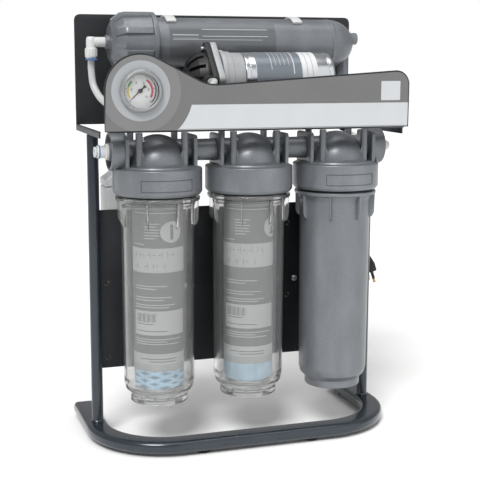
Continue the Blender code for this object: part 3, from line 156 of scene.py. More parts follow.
brass = makeFinish("brass", (0.62, 0.42, 0.16), 0.25, 1.0, (1200, 0.08), (150, 0.08))
boxPlastic = makeFinish("boxPlastic", (0.50, 0.51, 0.52), 0.45, 0.0, (1600, 0.2), (30, 0.05))
labelGrey = makeFinish("labelGrey", (0.142, 0.141, 0.142), 0.42, 0.0, (2600, 0.06), (20, 0.04))
printLight = makeFinish("printLight", (0.50, 0.515, 0.53), 0.38, 0.0, (2600, 0.05), (20, 0.03))
printMid = makeInk("printMid", (0.178, 0.177, 0.178))
printDark = makeInk("printDark", (0.060, 0.060, 0.062))
printWhite = makeInk("printWhite", (0.82, 0.82, 0.81))
ringSilver = makeFinish("ringSilver", (0.33, 0.345, 0.36), 0.38, 0.0, (2600, 0.05), (20, 0.03))
printGreen = makeInk("printGreen", (0.09, 0.40, 0.12), 0.05)
printYellow = makeInk("printYellow", (0.80, 0.62, 0.05), 0.05)
printRed = makeInk("printRed", (0.62, 0.03, 0.12), 0.05)
needlePaint = makeFinish("needlePaint", (0.01, 0.01, 0.01), 0.35, 0.0, (2600, 0.05), (90, 0.1))
clipBlue = makeFinish("clipBlue", (0.05, 0.16, 0.45), 0.4, 0.0, (1300, 0.1), (60, 0.08))
hosePlastic = makeFinish("hosePlastic", (0.47, 0.48, 0.475), 0.3, 0.0, (900, 0.06), (80, 0.04))
paperWrap = makeFinish("paperWrap", (0.50, 0.52, 0.53), 0.5, 0.0, (1600, 0.12), (30, 0.06), (1, 1, 0.4))
wrapGrey = makeFinish("wrapGrey", (0.225, 0.232, 0.238), 0.5, 0.0, (1600, 0.1), (30, 0.06))
wrapWhite = makeFinish("wrapWhite", (0.62, 0.63, 0.64), 0.5, 0.0, (1600, 0.1), (30, 0.05))
wrapDark = makeFinish("wrapDark", (0.10, 0.11, 0.12), 0.5, 0.0, (1600, 0.1), (30, 0.08))
vesselFilm = makeFinish("vesselFilm", (0.115, 0.122, 0.130), 0.30, 0.1, (1500, 0.04), (30, 0.05),
                        coat=0.3)
motorWrap = makeFinish("motorWrap", (0.165, 0.19, 0.215), 0.3, 0.2, (1500, 0.06), (30, 0.08), coat=0.3)


def makeYarn(name, colour, across, along, depth, shadow=0.42):
    # yarn or melt-blown fibre on a piece's own UV map: u runs round it and v along it, both in metres
    made = makeFinish(name, colour, 0.85, grain=(1800, 0.5), cloud=(60, 0.12), sheen=0.2)
    tree = made.node_tree
    shader, link = tree.nodes["Principled BSDF"], tree.links.new
    uv = addNode(tree, "ShaderNodeUVMap", -1500, -700)
    heights = []
    for turn in (along, -along):
        lay = addNode(tree, "ShaderNodeMapping", -1300, -700)
        lay.inputs["Rotation"].default_value = (0, 0, turn)
        wave = addNode(tree, "ShaderNodeTexWave", -1100, -700, Scale=across, Distortion=1.2, Detail=2.0)
        wave.inputs["Detail Scale"].default_value = 3.0
        link(uv.outputs["UV"], lay.inputs["Vector"])
        link(lay.outputs["Vector"], wave.inputs["Vector"])
        heights.append(wave.outputs["Fac"])
    most = addNode(tree, "ShaderNodeMath", -800, -700, operation="MAXIMUM")
    link(heights[0], most.inputs[0])
    link(heights[1], most.inputs[1])
    bump = addNode(tree, "ShaderNodeBump", -420, -700, Strength=0.9, Distance=depth)
    link(most.outputs["Value"], bump.inputs["Height"])
    link(bump.outputs["Normal"], tree.nodes["Bump"].inputs["Normal"])
    # the thread pattern also scales the colour, partly painted: darker in the grooves as painted shade, lighter
    # on the crowns as painted highlight
    shade = addNode(tree, "ShaderNodeMapRange", -600, -900)
    shade.inputs["To Min"].default_value, shade.inputs["To Max"].default_value = shadow, 1.2
    link(most.outputs["Value"], shade.inputs["Value"])
    times = addNode(tree, "ShaderNodeVectorMath", -200, 500, operation="MULTIPLY")
    source = shader.inputs["Base Color"].links[0].from_socket
    link(source, times.inputs[0])
    link(shade.outputs["Result"], times.inputs[1])
    link(times.outputs["Vector"], shader.inputs["Base Color"])
    return made


woundYarn = makeYarn("woundYarn", (0.50, 0.72, 0.90), 34.0, radians(71), 0.0016, 0.5)
meltBlown = makeYarn("meltBlown", (0.50, 0.68, 0.82), 160.0, radians(84), 0.0003, 0.95)
netSleeve = makeYarn("netSleeve", (0.70, 0.71, 0.71), 150.0, radians(45), 0.0008)
print("finishes made")


# workshop: small helpers that every piece uses
gap = 0.0003     # left between pieces that touch

def stand(x=0.0, y=0.0, z=0.0):
    return Matrix.Translation((x, y, z))


def faceRight(x=0.0, y=0.0, z=0.0):
    return Matrix.Translation((x, y, z)) @ Matrix.Rotation(pi / 2, 4, "Y")     # own +Z points right


def faceFront(x=0.0, y=0.0, z=0.0):
    return stand(x, y, z) @ Matrix.Rotation(pi / 2, 4, "X")     # own +Z points to the front


def faceBack(x=0.0, y=0.0, z=0.0):
    return Matrix.Translation((x, y, z)) @ Matrix.Rotation(-pi / 2, 4, "X")


def alongX(x=0.0, y=0.0, z=0.0, side=1):
    # own X and Y become the world's Y and Z, and own +Z points right, or left where side is -1
    return Matrix(((0, 0, side, x), (1, 0, 0, y), (0, 1, 0, z), (0, 0, 0, 1)))


def bend(x, z, radius, start, end, steps):
    return [(x + radius * cos(radians(start + (end - start) * i / steps)),
             z + radius * sin(radians(start + (end - start) * i / steps))) for i in range(steps + 1)]


def eased(points, steps=4, closed=False):
    # rounds the corners of a line: a point with a third number takes it as its radius
    made, count = [], len(points)
    for i, point in enumerate(points):
        if len(point) < 3 or not point[2] or (not closed and i in (0, count - 1)):
            made.append((point[0], point[1]))
            continue
        here = Vector(point[:2])
        before, after = Vector(points[i - 1][:2]) - here, Vector(points[(i + 1) % count][:2]) - here
        angle = before.angle(after)
        reach = min(point[2] / tan(angle / 2), before.length * 0.49, after.length * 0.49)
        a, b = here + before.normalized() * reach, here + after.normalized() * reach
        for k in range(steps + 1):
            t = k / steps
            made.append(tuple(a * (1 - t) ** 2 + here * 2 * t * (1 - t) + b * t ** 2))
    return made


def addTurned(form, profile, at, steps=72, closed=False):
    # spins a line of (radius, height) points about its own upright axis
    verts = [form.verts.new((max(r, 0.0), 0, z)) for r, z in profile]
    edges = [form.edges.new((a, b)) for a, b in zip(verts, verts[1:])]
    if closed:
        edges.append(form.edges.new((verts[-1], verts[0])))
    before = set(form.verts) - set(verts)
    bmesh.ops.spin(form, geom=verts + edges, cent=(0, 0, 0), axis=(0, 0, 1), angle=2 * pi, steps=steps,
                   use_merge=True)
    fresh = [v for v in form.verts if v not in before]
    bmesh.ops.remove_doubles(form, verts=fresh, dist=0.000002)
    bmesh.ops.delete(form, geom=[e for e in form.edges if not e.link_faces], context="EDGES")
    fresh = [v for v in form.verts if v not in before]
    bmesh.ops.transform(form, matrix=at, verts=fresh)
    return fresh


def addBlock(form, low, high, edge=0.0, steps=3):
    low, high = Vector(low), Vector(high)
    fresh = bmesh.ops.create_cube(form, size=1.0)["verts"]
    bmesh.ops.scale(form, vec=high - low, verts=fresh)
    bmesh.ops.translate(form, vec=(low + high) / 2, verts=fresh)
    if edge:
        sides = list({e for v in fresh for e in v.link_edges})
        bmesh.ops.bevel(form, geom=sides, offset=edge, offset_type="OFFSET", affect="EDGES",
                        segments=steps, profile=0.5, material=-1)
    return fresh


def addPlate(form, outline, low, high, at, edge=0.0, steps=2):
    # A flat outline in its own XY plane, given thickness from low to high, with its rims rounded.
    before = set(form.verts)
    face = form.faces.new([form.verts.new((x, y, low)) for x, y in outline])
    grown = bmesh.ops.extrude_face_region(form, geom=[face])["geom"]
    top = [g for g in grown if isinstance(g, bmesh.types.BMVert)]
    bmesh.ops.translate(form, vec=(0, 0, high - low), verts=top)
    fresh = [v for v in form.verts if v not in before]
    if edge:
        rims = [e for v in fresh for e in v.link_edges
                if abs(e.verts[0].co.z - e.verts[1].co.z) < 1e-7]
        bmesh.ops.bevel(form, geom=list(set(rims)), offset=edge, offset_type="OFFSET", affect="EDGES",
                        segments=steps, profile=0.5, material=-1)
    fresh = [v for v in form.verts if v not in before]
    bmesh.ops.transform(form, matrix=at, verts=fresh)
    return fresh


def addSweep(form, path, section, scales=None):
    # carries a closed section along a path; each step may narrow it
    ups = Vector((0, 0, 1))
    rings = []
    for i, spot in enumerate(path):
        ahead = (Vector(path[min(i + 1, len(path) - 1)]) - Vector(path[max(i - 1, 0)])).normalized()
        side = ahead.cross(ups).normalized()
        lift = side.cross(ahead).normalized()
        size = scales[i] if scales else (1, 1)
        rings.append([form.verts.new(Vector(spot) + side * (u * size[0]) + lift * (w * size[1])) for u,
                      w in section])
    edges = [[form.edges.new((r[k], r[(k + 1) % len(r)])) for k in range(len(r))] for r in rings]
    for a, b in zip(edges, edges[1:]):
        bmesh.ops.bridge_loops(form, edges=a + b)
    for ends in (rings[0], rings[-1]):
        form.faces.new(ends)


def cutBy(piece, tool, how="DIFFERENCE"):
    # cuts, joins or trims a piece with another mesh, and lets that mesh go
    step = piece.modifiers.new("cut", "BOOLEAN")
    step.operation, step.solver, step.object = how, "EXACT", tool
    bpy.context.view_layer.update()
    mesh = bpy.data.meshes.new_from_object(piece.evaluated_get(bpy.context.evaluated_depsgraph_get()))
    piece.modifiers.clear()
    piece.data = mesh
    bpy.data.objects.remove(tool, do_unlink=True)
    return piece


def rawPiece(name, form):
    bmesh.ops.remove_doubles(form, verts=form.verts, dist=0.000002)
    bmesh.ops.recalc_face_normals(form, faces=form.faces)
    mesh = bpy.data.meshes.new(name)
    form.to_mesh(mesh)
    form.free()
    obj = bpy.data.objects.new(name, mesh)
    scene.collection.objects.link(obj)
    return obj


def turned(name, profile, at, steps=72, closed=False):
    form = bmesh.new()
    addTurned(form, profile, at, steps, closed)
    return rawPiece(name, form)


def plated(name, outline, low, high, at, edge=0.0, steps=2):
    form = bmesh.new()
    addPlate(form, outline, low, high, at, edge, steps)
    return rawPiece(name, form)


def blocked(name, low, high, edge=0.0, steps=3):
    form = bmesh.new()
    addBlock(form, low, high, edge, steps)
    return rawPiece(name, form)


def dress(obj, finish, body="frame", replaces=(), angle=32):
    # smooths, paints and hangs a piece on its body
    if finish is not None:
        obj.data.materials.clear()
        obj.data.materials.append(finish)
    if obj.type == "MESH":
        obj.data.shade_smooth()
        obj.data.set_sharp_from_angle(angle=radians(angle))
    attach(obj, body)
    if replaces:
        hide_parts(*replaces)
    return obj


def textMesh(name, text, size, thick, grow=0.0):
    words = bpy.data.curves.new(name, "FONT")
    words.body, words.size, words.align_x, words.align_y = text, size, "CENTER", "CENTER"
    words.extrude, words.offset = thick, grow
    holder = bpy.data.objects.new("holder", words)
    scene.collection.objects.link(holder)
    bpy.context.view_layer.update()
    mesh = bpy.data.meshes.new_from_object(holder.evaluated_get(bpy.context.evaluated_depsgraph_get()))
    bpy.data.objects.remove(holder, do_unlink=True)
    return mesh


def sliceAcross(mesh, reach, step):
    # cuts a flat mesh into strips, so that it can follow a curve
    form = bmesh.new()
    form.from_mesh(mesh)
    for side in range(-reach, reach + 1):
        bmesh.ops.bisect_plane(form, geom=form.verts[:] + form.edges[:] + form.faces[:],
                               plane_co=(side * step, 0, 0), plane_no=(1, 0, 0))
    form.to_mesh(mesh)
    form.free()


def smoothRoute(route, spacing):
    # evenly spaced points on the smooth curve through a route's own points
    spots = [Vector(p) for p in route]
    ends = [2 * spots[0] - spots[1]] + spots + [2 * spots[-1] - spots[-2]]
    fine = []
    for a, b, c, d in zip(ends, ends[1:], ends[2:], ends[3:]):
        for i in range(40):
            t = i / 40
            fine.append(0.5 * ((2 * b) + (c - a) * t + (2 * a - 5 * b + 4 * c - d) * t ** 2
                               + (3 * b - a - 3 * c + d) * t ** 3))
    fine.append(spots[-1])
    length = sum((q - p).length for p, q in zip(fine, fine[1:]))
    count = max(2, round(length / spacing))
    points, walked, wanted = [fine[0]], 0.0, length / count
    for p, q in zip(fine, fine[1:]):
        walked += (q - p).length
        if walked >= wanted and len(points) < count:
            points.append(q)
            wanted += length / count
    return points + [fine[-1]]


def makeCurve(name, points, radius, finish, sides=5):
    curve = bpy.data.curves.new(name, "CURVE")
    curve.dimensions = "3D"
    curve.bevel_depth, curve.bevel_resolution, curve.use_fill_caps = radius, sides, True
    line = curve.splines.new("POLY")
    line.points.add(len(points) - 1)
    for point, spot in zip(line.points, points):
        point.co = (*spot, 1)
    line.use_smooth = True
    curve.materials.append(finish)
    obj = bpy.data.objects.new(name, curve)
    scene.collection.objects.link(obj)
    return obj


# cord: gland to a coil on its peg, then over a clip to the plug
cord = {"radius": 0.0030, "tip": (-0.0877, 0.0424, 0.2880), "coil": (0.030, 0.0283, 0.215),
        "rings": (0.0402, 0.0341, 0.0280), "layer": 0.0031, "start": 150, "turns": 5.64, "step": 0.22,
        "clip": (0.172, 0.0300, 0.2820), "plugFace": (0.2200, 0.0370, 0.2052), "plugTilt": radians(18),
        "plugLength": 0.034, "length": 1.5}


def easeStep(t, middle, wide):
    share = min(1.0, max(0.0, (t - middle) / wide + 0.5))
    return share * share * (3 - 2 * share)


def coilPoint(c, t):
    # the place t turns into the coil: in through the front layer, out through the back one
    outer, middle, inner = c["rings"]
    half = c["turns"] / 2
    inward = easeStep(t, 0.93, c["step"]) + easeStep(t, 1.93, c["step"])
    outward = easeStep(t, half + 0.88, c["step"]) + easeStep(t, half + 1.88, c["step"])
    across = inward - outward
    radius = outer + (middle - outer) * min(across, 1) + (inner - middle) * max(across - 1, 0)
    depth = c["layer"] * (2 * easeStep(t, half, 0.2) - 1)
    angle = radians(c["start"] + 360 * t)
    x, y, z = c["coil"]
    return (x + radius * cos(angle), y + depth, z + radius * sin(angle))


def plugSpot(c, along, across=0.0, deep=0.0):
    tilt = c["plugTilt"]
    return (Vector(c["plugFace"]) + Vector((-sin(tilt), 0, cos(tilt))) * along
            + Vector((cos(tilt), 0, sin(tilt))) * across + Vector((0, deep, 0)))


def makeCord(c):
    count = round(c["turns"] * 30)
    coil = [coilPoint(c, c["turns"] * i / count) for i in range(count + 1)]
    x, y, z = c["tip"]
    lead = [c["tip"], (x + 0.018, y, z), (-0.040, 0.0385, 0.2770), (-0.016, 0.0300, 0.2590),
            (-0.0095, 0.0262, 0.2450)]
    tail = [(0.0705, 0.0311, 0.2400), (0.0800, 0.0308, 0.2510), (0.100, 0.0302, 0.2600),
            (0.140, 0.0300, 0.2690), c["clip"], (0.192, 0.0325, 0.2745), (0.203, 0.0355, 0.256),
            tuple(plugSpot(c, c["plugLength"] + 0.010)), tuple(plugSpot(c, c["plugLength"] - 0.001))]
    route = smoothRoute(lead + coil[3::5] + tail, 0.0035)
    free = makeCurve("mainsCord", route, c["radius"], softBlack, 4)
    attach(free, "frame")
    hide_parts("cord_lead", "cord_coil", "cord_tail")
    length = sum((b - a).length for a, b in zip(route, route[1:]))
    print("cord length", round(length, 4))
    return free


def makeTie(c):
    x, y, z = c["coil"]
    form = bmesh.new()
    deep, tall, band, wide = 0.0065, 0.0099, 0.0009, 0.0017
    low = z - 0.0341
    outline = eased([(-deep, -tall, 0.004), (deep, -tall, 0.004), (deep, tall, 0.004),
                     (-deep, tall, 0.004)], 4, True)
    addSweep(form, [(x - wide, y, low), (x + wide, y, low)],
             [(u * (1 + band / deep), w * (1 + band / tall)) for u, w in outline])
    tie = rawPiece("coilTie", form)
    form = bmesh.new()
    addSweep(form, [(x - 0.01, y, low), (x + 0.01, y, low)], outline)
    cutBy(tie, rawPiece("tieSpace", form))
    cutBy(tie, blocked("tieHead", (x - 0.0024, y - deep - 0.0034, low - 0.003),
                       (x + 0.0024, y - deep - 0.0006, low + 0.003), 0.0006), "UNION")
    return dress(tie, softBlack, replaces=["coil_tie"])


def makePlug(c):
    # flat two-pin plug: a soft moulded body that narrows to its neck, a ribbed neck and two round pins
    form = bmesh.new()
    levels = [(0.0, 0.0172, 0.0064), (0.0012, 0.0176, 0.0068), (0.011, 0.0172, 0.0068),
              (0.018, 0.0118, 0.0062), (0.025, 0.0074, 0.0052), (0.030, 0.0056, 0.0046),
              (0.0343, 0.0046, 0.0042)]
    rings = []
    for along, half, thick in levels:
        outline = eased([(-half, -thick, thick * 0.75), (half, -thick, thick * 0.75),
                         (half, thick, thick * 0.75), (-half, thick, thick * 0.75)], 5, True)
        verts = [form.verts.new(plugSpot(c, along, w, u)) for u, w in outline]
        rings.append([form.edges.new((verts[i], verts[(i + 1) % len(verts)])) for i in range(len(verts))])
    for a, b in zip(rings, rings[1:]):
        bmesh.ops.bridge_loops(form, edges=a + b)
    for edges in (rings[0], rings[-1]):
        bmesh.ops.edgeloop_fill(form, edges=edges)
    plug = rawPiece("plugBody", form)
    dress(plug, softBlack, replaces=["plug"], angle=50)
    form = bmesh.new()
    turn, pinSide, pin, sleeve = Matrix.Rotation(-c["plugTilt"], 4, "Y"), 0.0095, 0.0020, 0.00228
    for side in (-1, 1):
        at = Matrix.Translation(plugSpot(c, 0, 0, side * pinSide)) @ turn
        addTurned(form, eased([(0, -0.019), (pin, -0.019, 0.0011), (pin, -0.010), (pin, 0.001),
                               (0, 0.001)]), at, 24)
    pins = dress(rawPiece("plugPins", form), brass)
    form = bmesh.new()
    for side in (-1, 1):
        at = Matrix.Translation(plugSpot(c, 0, 0, side * pinSide)) @ turn
        addTurned(form, eased([(0.00204, -0.0125), (sleeve, -0.0125, 0.0001), (sleeve, -0.0002),
                               (0.00204, -0.0002)]), at, 24, closed=True)
    sleeves = dress(rawPiece("plugSleeves", form), softBlack)
    form = bmesh.new()
    for i in range(5):
        at = Matrix.Translation(plugSpot(c, 0.0325 + 0.0028 * i)) @ turn
        size = 0.0050 - 0.00032 * i
        addTurned(form, eased([(0.0029, 0.0011), (size, 0.0011, 0.0004), (size, -0.0007, 0.0004),
                               (0.0029, -0.0007)], 2), at, 28, closed=True)
    neck = dress(rawPiece("plugNeck", form), softBlack)
    return plug, pins, sleeves, neck


freeCord = makeCord(cord)
tie = makeTie(cord)
plug, pins, sleeves, neck = makePlug(cord)
print("cord made")

# stand: a U of oval tube on four rubber feet, with two round posts
stage = {"width": 0.434, "front": -0.10975, "back": 0.10975, "corner": 0.095, "tube": (0.031, 0.0165),
         "foot": 0.0042, "footRadius": 0.0088,
         "feet": ((-0.077, -0.09425), (0.077, -0.09425), (-0.2015, 0.080), (0.2015, 0.080)),
         "postRadius": 0.0078, "postX": 0.1998, "postY": 0.010, "shoulder": 0.4175, "top": 0.4240}


def makeBase(s):
    wide, tall = s["tube"]
    x, middle = s["width"] / 2 - wide / 2, s["foot"] + gap + tall / 2
    corner, bendY = s["corner"], s["front"] + wide / 2 + s["corner"]
    right = [(x, s["back"] - 0.0004 - wide * 0.3 * (1 - cos(radians(a))),
              middle) for a in range(0, 91, 15)]
    line = [(px, py, middle) for px, py in bend(x - corner, bendY, corner, 0, -90, 26)
            + bend(corner - x, bendY, corner, -90, -180, 26)]
    left = [(-px, py, pz) for px, py, pz in reversed(right)]
    path = right + [(x, bendY + 0.03, middle)] + line + [(-x, bendY + 0.03, middle)] + left
    close = [(1 - 0.45 * (1 - sin(radians(a))),
              1 - 0.5 * (1 - sin(radians(a)))) for a in range(0, 91, 15)]
    section = eased([(-wide / 2, -tall / 2, 0.0072), (wide / 2, -tall / 2, 0.0072),
                     (wide / 2, tall / 2, 0.0072), (-wide / 2, tall / 2, 0.0072)], 7, True)
    form = bmesh.new()
    addSweep(form, path, section, close + [(1, 1)] * (len(line) + 2) + list(reversed(close)))
    dress(rawPiece("baseTube", form), slatePaint, replaces=["base_tube"], angle=40)
    form = bmesh.new()
    for px, py in s["feet"]:
        addTurned(form, eased([(0, 0.0002), (0.0052, 0.0002), (0.0060, 0, 0.0004),
                               (s["footRadius"] - 0.0006, 0, 0.0008), (s["footRadius"], 0.0020, 0.0006),
                               (s["footRadius"] - 0.0008, 0.0042, 0.0005), (0, 0.0042)]),
                  stand(px, py, 0), 40)
    dress(rawPiece("feet", form), rubber,
          replaces=["foot_front_left", "foot_front_right", "foot_back_left", "foot_back_right"])


def makePosts(s):
    low = s["foot"] + gap + s["tube"][1]
    for name, node, side in (("postLeft", "left_post", -1), ("postRight", "right_post", 1)):
        r = s["postRadius"]
        dress(turned(name, eased([(0, s["top"]), (0.0035, s["top"], 0.0006), (0.0035, s["shoulder"]),
                                  (r, s["shoulder"], 0.0008), (r, low + 0.0028, 0.002),
                                  (r + 0.0018, low + 0.0001, 0.0008), (0, low + 0.0001)]),
                     stand(side * s["postX"], s["postY"]), 56), slatePaint, replaces=[node])


makeBase(stage)
makePosts(stage)
print("stand made")

# sheet metal: back plate and shelf, and the panel behind the filters
sheet = {"half": 0.206, "thick": 0.002, "shelf": 0.4263, "front": -0.094, "lip": 0.0085,
         "lipLeft": -0.068, "lipRight": -0.090, "plateY": 0.0947, "plateTop": 0.577, "corner": 0.0095,
         "hose": (0.165, 0.012), "panel": (0.2008, 0.0935, 0.3145, 0.0181),
         "holes": ((-0.182, 0.213), (-0.182, 0.108), (0.082, 0.285), (0.082, 0.180)),
         "screws": (("panel_screw_left", -0.060, 0.204), ("panel_screw_right", 0.0925, 0.204))}


def makeBracket(s):
    half, thick, shelf = s["half"], s["thick"], s["shelf"]
    form = bmesh.new()
    outline = eased([(-half, shelf - 0.0008), (half, shelf - 0.0008), (half, s["plateTop"], s["corner"]),
                     (-half, s["plateTop"], s["corner"])], 8, True)
    addPlate(form, outline, 0, thick, faceFront(0, s["plateY"] + thick, 0), 0.0004)
    dress(rawPiece("backPlate", form), blackCoat, replaces=["top_bracket"])
    # shelf, its side lips and the bend up into the back plate, carried along X as one folded section
    form = bmesh.new()
    inner, back = 0.0014, s["plateY"] + thick     # inner: the fold's inside radius
    fold = [(s["front"], shelf - thick), (s["front"], shelf)]
    fold += bend(s["plateY"] - inner, shelf + inner, inner, 270, 360, 5) + [(back, shelf + inner)]
    fold += bend(back - inner - thick, shelf + inner, inner + thick, 0, -90, 7)
    side = 0.0016
    addPlate(form, fold, -half + side, half - side, alongX())
    for sign, near in ((-1, s["lipLeft"]), (1, s["lipRight"])):
        edge = [(half - side - 0.0006, shelf)] + bend(half - side, shelf - side, side, 90, 0, 5)
        edge += [(half, shelf - s["lip"]), (half - thick, shelf - s["lip"]),
                 (half - thick, shelf - thick - gap), (half - side - 0.0006, shelf - thick)]
        addPlate(form, [(sign * u, w) for u, w in edge], -back, -near, Matrix.Rotation(pi / 2, 4, "X"))
    piece = rawPiece("shelf", form)
    cutBy(piece, turned("hoseHole", [(0, 0.01), (0.0068, 0.01), (0.0068, -0.01), (0, -0.01)],
                        stand(*s["hose"], shelf), 32))
    dress(piece, shelfCoat)
    dress(turned("hoseGrommet", eased([(0.0050, 0.0012), (0.0082, 0.0012, 0.0006), (0.0082, 0.0001),
                                       (0.0067, 0.0001), (0.0067, -0.0021), (0.0078, -0.0022),
                                       (0.0078, -0.0032, 0.0005), (0.0050, -0.0032)], 3),
                 stand(*s["hose"], shelf), 36, closed=True), rubber)


def makeRearPanel(s):
    half, low, high, near = s["panel"]
    form = bmesh.new()
    outline = eased([(-half, low, 0.002), (half, low, 0.002), (half, high, 0.002),
                     (-half, high, 0.002)], 3, True)
    addPlate(form, outline, 0, s["thick"], faceFront(0, near + s["thick"], 0), 0.0004)
    panel = rawPiece("rearPanel", form)
    form = bmesh.new()
    for x, z in s["holes"]:
        addTurned(form, [(0, 0.01), (0.0032, 0.01), (0.0032, -0.01), (0, -0.01)], faceFront(x, near, z),
                  24)
    cutBy(panel, rawPiece("panelHoles", form))
    dress(panel, blackCoat, replaces=["rear_panel"])
    form = bmesh.new()
    for x, z in s["holes"]:     # dark caps, sunk in their holes, so that the holes read dark
        addTurned(form, eased([(0, -0.0007), (0.0020, -0.0009, 0.0004), (0.0030, -0.0006, 0.0002),
                               (0.0030, -0.0017), (0, -0.0017)]), faceFront(x, near, z), 24)
    dress(rawPiece("panelHoleCaps", form), rubber)
    for node, x, z in s["screws"]:
        screw = turned(node + "Head", eased([(0, 0.0027), (0.0022, 0.0026, 0.0005),
                                             (0.0042, 0.0009, 0.0006), (0.0042, 0), (0.0018, 0),
                                             (0.0018, -0.009), (0, -0.009)]),
                       faceFront(x, near - gap, z), 32)
        for turn in (0, pi / 2):
            form = bmesh.new()
            fresh = addBlock(form, (-0.0019, -0.00035, 0.0014), (0.0019, 0.00035, 0.004))
            bmesh.ops.transform(form, matrix=faceFront(x, near - gap,
                                                       z) @ Matrix.Rotation(turn + 0.4, 4, "Z"),
                                verts=fresh)
            cutBy(screw, rawPiece("slot" + node, form))
        dress(screw, zinc, replaces=[node])


makeBracket(sheet)
makeRearPanel(sheet)
print("sheet metal made")

# front panel: a black sheet, its printed film and the pressure gauge in its round end
panel = {"front": -0.107, "half": 0.2062, "low": 0.4281, "rightTop": 0.5041, "slope": 0.0674,
         "corner": 0.019, "dip": 0.055, "fall": radians(27), "film": 0.0006, "sheet": 0.002,
         "inset": 0.0020, "gauge": (-0.1605, 0.4782), "arc": 0.046, "bandTop": 0.4605,
         "bandArc": 0.0672, "badge": (0.1645, 0.1923, 0.4637, 0.4888)}
gauge = {"case": 0.0245, "bezel": 0.027, "window": 0.0215, "depth": 0.026, "proud": 0.0075,
         "needle": 0.0165, "tail": 0.009, "rest": radians(-47)}


def panelOutline(p, inset=0.0, leftInset=None):
    # round about the gauge at the left, dipping, then rising gently to the right
    left = -p["half"] + (inset if leftInset is None else leftInset)
    right, low, reach = p["half"] - inset, p["low"] + inset * 0.5, p["arc"] - inset
    fall, slope = p["fall"], p["slope"]
    gx, gz = p["gauge"]
    leave = pi / 2 - fall
    roundEnd = bend(gx, gz, reach, 180, 90 - fall * 180 / pi, 40)
    start = Vector((gx + reach * cos(leave), gz + reach * sin(leave)))
    down, rise = Vector((cos(fall), -sin(fall))), Vector((cos(slope), sin(slope)))
    cornerTop = Vector((p["half"], p["rightTop"] - inset))
    across, turn = start - cornerTop, down.x * rise.y - down.y * rise.x
    meet = start + down * ((rise.x * across.y - rise.y * across.x) / turn)
    radius = p["dip"] + inset
    centre = meet - down * (radius * tan((fall + slope) / 2)) + Vector((sin(fall), cos(fall))) * radius
    dip = bend(centre.x, centre.y, radius, 270 - fall * 180 / pi, 270 + slope * 180 / pi, 16)
    corner = p["corner"] - inset
    height = cornerTop.y - (p["half"] - right + corner) * slope - corner / cos(slope)
    topRight = bend(right - corner, height, corner, 90 + slope * 180 / pi, 0, 18)
    return [(left, low)] + roundEnd + dip + topRight + [(right, low)]


def addPrint(name, outline, finish, face, level=1, trim=None):
    # A printed patch on the panel's film: a skin a few hundredths of a millimetre thick.
    piece = plated(name, outline, -0.0001, 0.00004 * level, faceFront(0, face, 0))
    if trim:
        cutBy(piece, plated(name + "Trim", trim, -0.001, 0.001, faceFront(0, face, 0)), "INTERSECT")
    return dress(piece, finish)


def makePanel(p, g):
    face, (gx, gz) = p["front"], p["gauge"]
    near = face + p["film"] + gap
    board = plated("panelSheet", panelOutline(p), -p["sheet"], 0, faceFront(0, near, 0), 0.0003)
    hole = turned("panelHole", [(0, 0.02), (g["case"] + gap, 0.02), (g["case"] + gap, -0.02),
                                (0, -0.02)], faceFront(gx, face, gz), 72)
    second = hole.copy()
    scene.collection.objects.link(second)
    cutBy(board, second)
    dress(board, blackCoat, replaces=["front_panel"])
    form = bmesh.new()
    low = 0.4266
    section = [(near, low + 0.0035)] + bend(near + 0.0035, low + 0.0035, 0.0035, 180, 270, 5)
    section += [(near + 0.031, low), (near + 0.031, low + 0.0018)]
    section += bend(near + 0.0036, low + 0.0036, 0.0018, 270, 180, 4)
    addPlate(form, section, -p["half"] + 0.006, p["half"] - 0.006,
             alongX())
    dress(rawPiece("panelReturn", form), blackCoat)
    form = bmesh.new()
    trim = panelOutline(p, p["inset"], 0.0003)
    addPlate(form, trim, -p["film"], 0, faceFront(0, face, 0), 0.0001, 1)
    film = rawPiece("panelFilm", form)
    cutBy(film, hole)
    dress(film, labelGrey, replaces=["panel_overlay"])
    clip = panelOutline(p, p["inset"] + 0.0002, 0.0005)
    for name, start in (("haloUpper", 0), ("haloLower", 180)):
        half = bend(gx, gz, 0.051, start, start + 180, 48) + bend(gx, gz, 0.0373, start + 180, start, 40)
        addPrint(name, half, printMid, face, 1, clip)
    past, below = 0.21, 0.42     # beyond the panel, where the trim takes over
    band = [(past, p["bandTop"]), (past, below), (gx + 0.0450, below)]
    band += bend(gx, gz, p["bandArc"], -49, -15.2, 24)
    addPrint("band", band, printLight, face, 2, clip)
    line = [(past, 0.4305), (past, 0.4296), (gx + 0.0475, 0.4296), (gx + 0.0472, 0.4305)]
    addPrint("bandLine", line, printMid, face, 3, clip)
    x0, x1, z0, z1 = p["badge"]
    addPrint("badge", eased([(x0, z0, 0.0012), (x1, z0, 0.0012), (x1, z1, 0.0012), (x0, z1, 0.0012)], 4,
                            True), printLight, face, 2)
    # light ring round the gauge, as two half rings
    for name, start in (("ringUpper", 0), ("ringLower", 180)):
        half = bend(gx, gz, 0.0372, start, start + 180,
                    48) + bend(gx, gz, g["bezel"] - 0.001, start + 180, start, 40)
        addPrint(name, half, ringSilver, face, 3, clip)


def ringSector(gx, gz, outer, inner, start, end, steps=24):
    return bend(gx, gz, outer, start, end, steps) + bend(gx, gz, inner, end, start, steps)


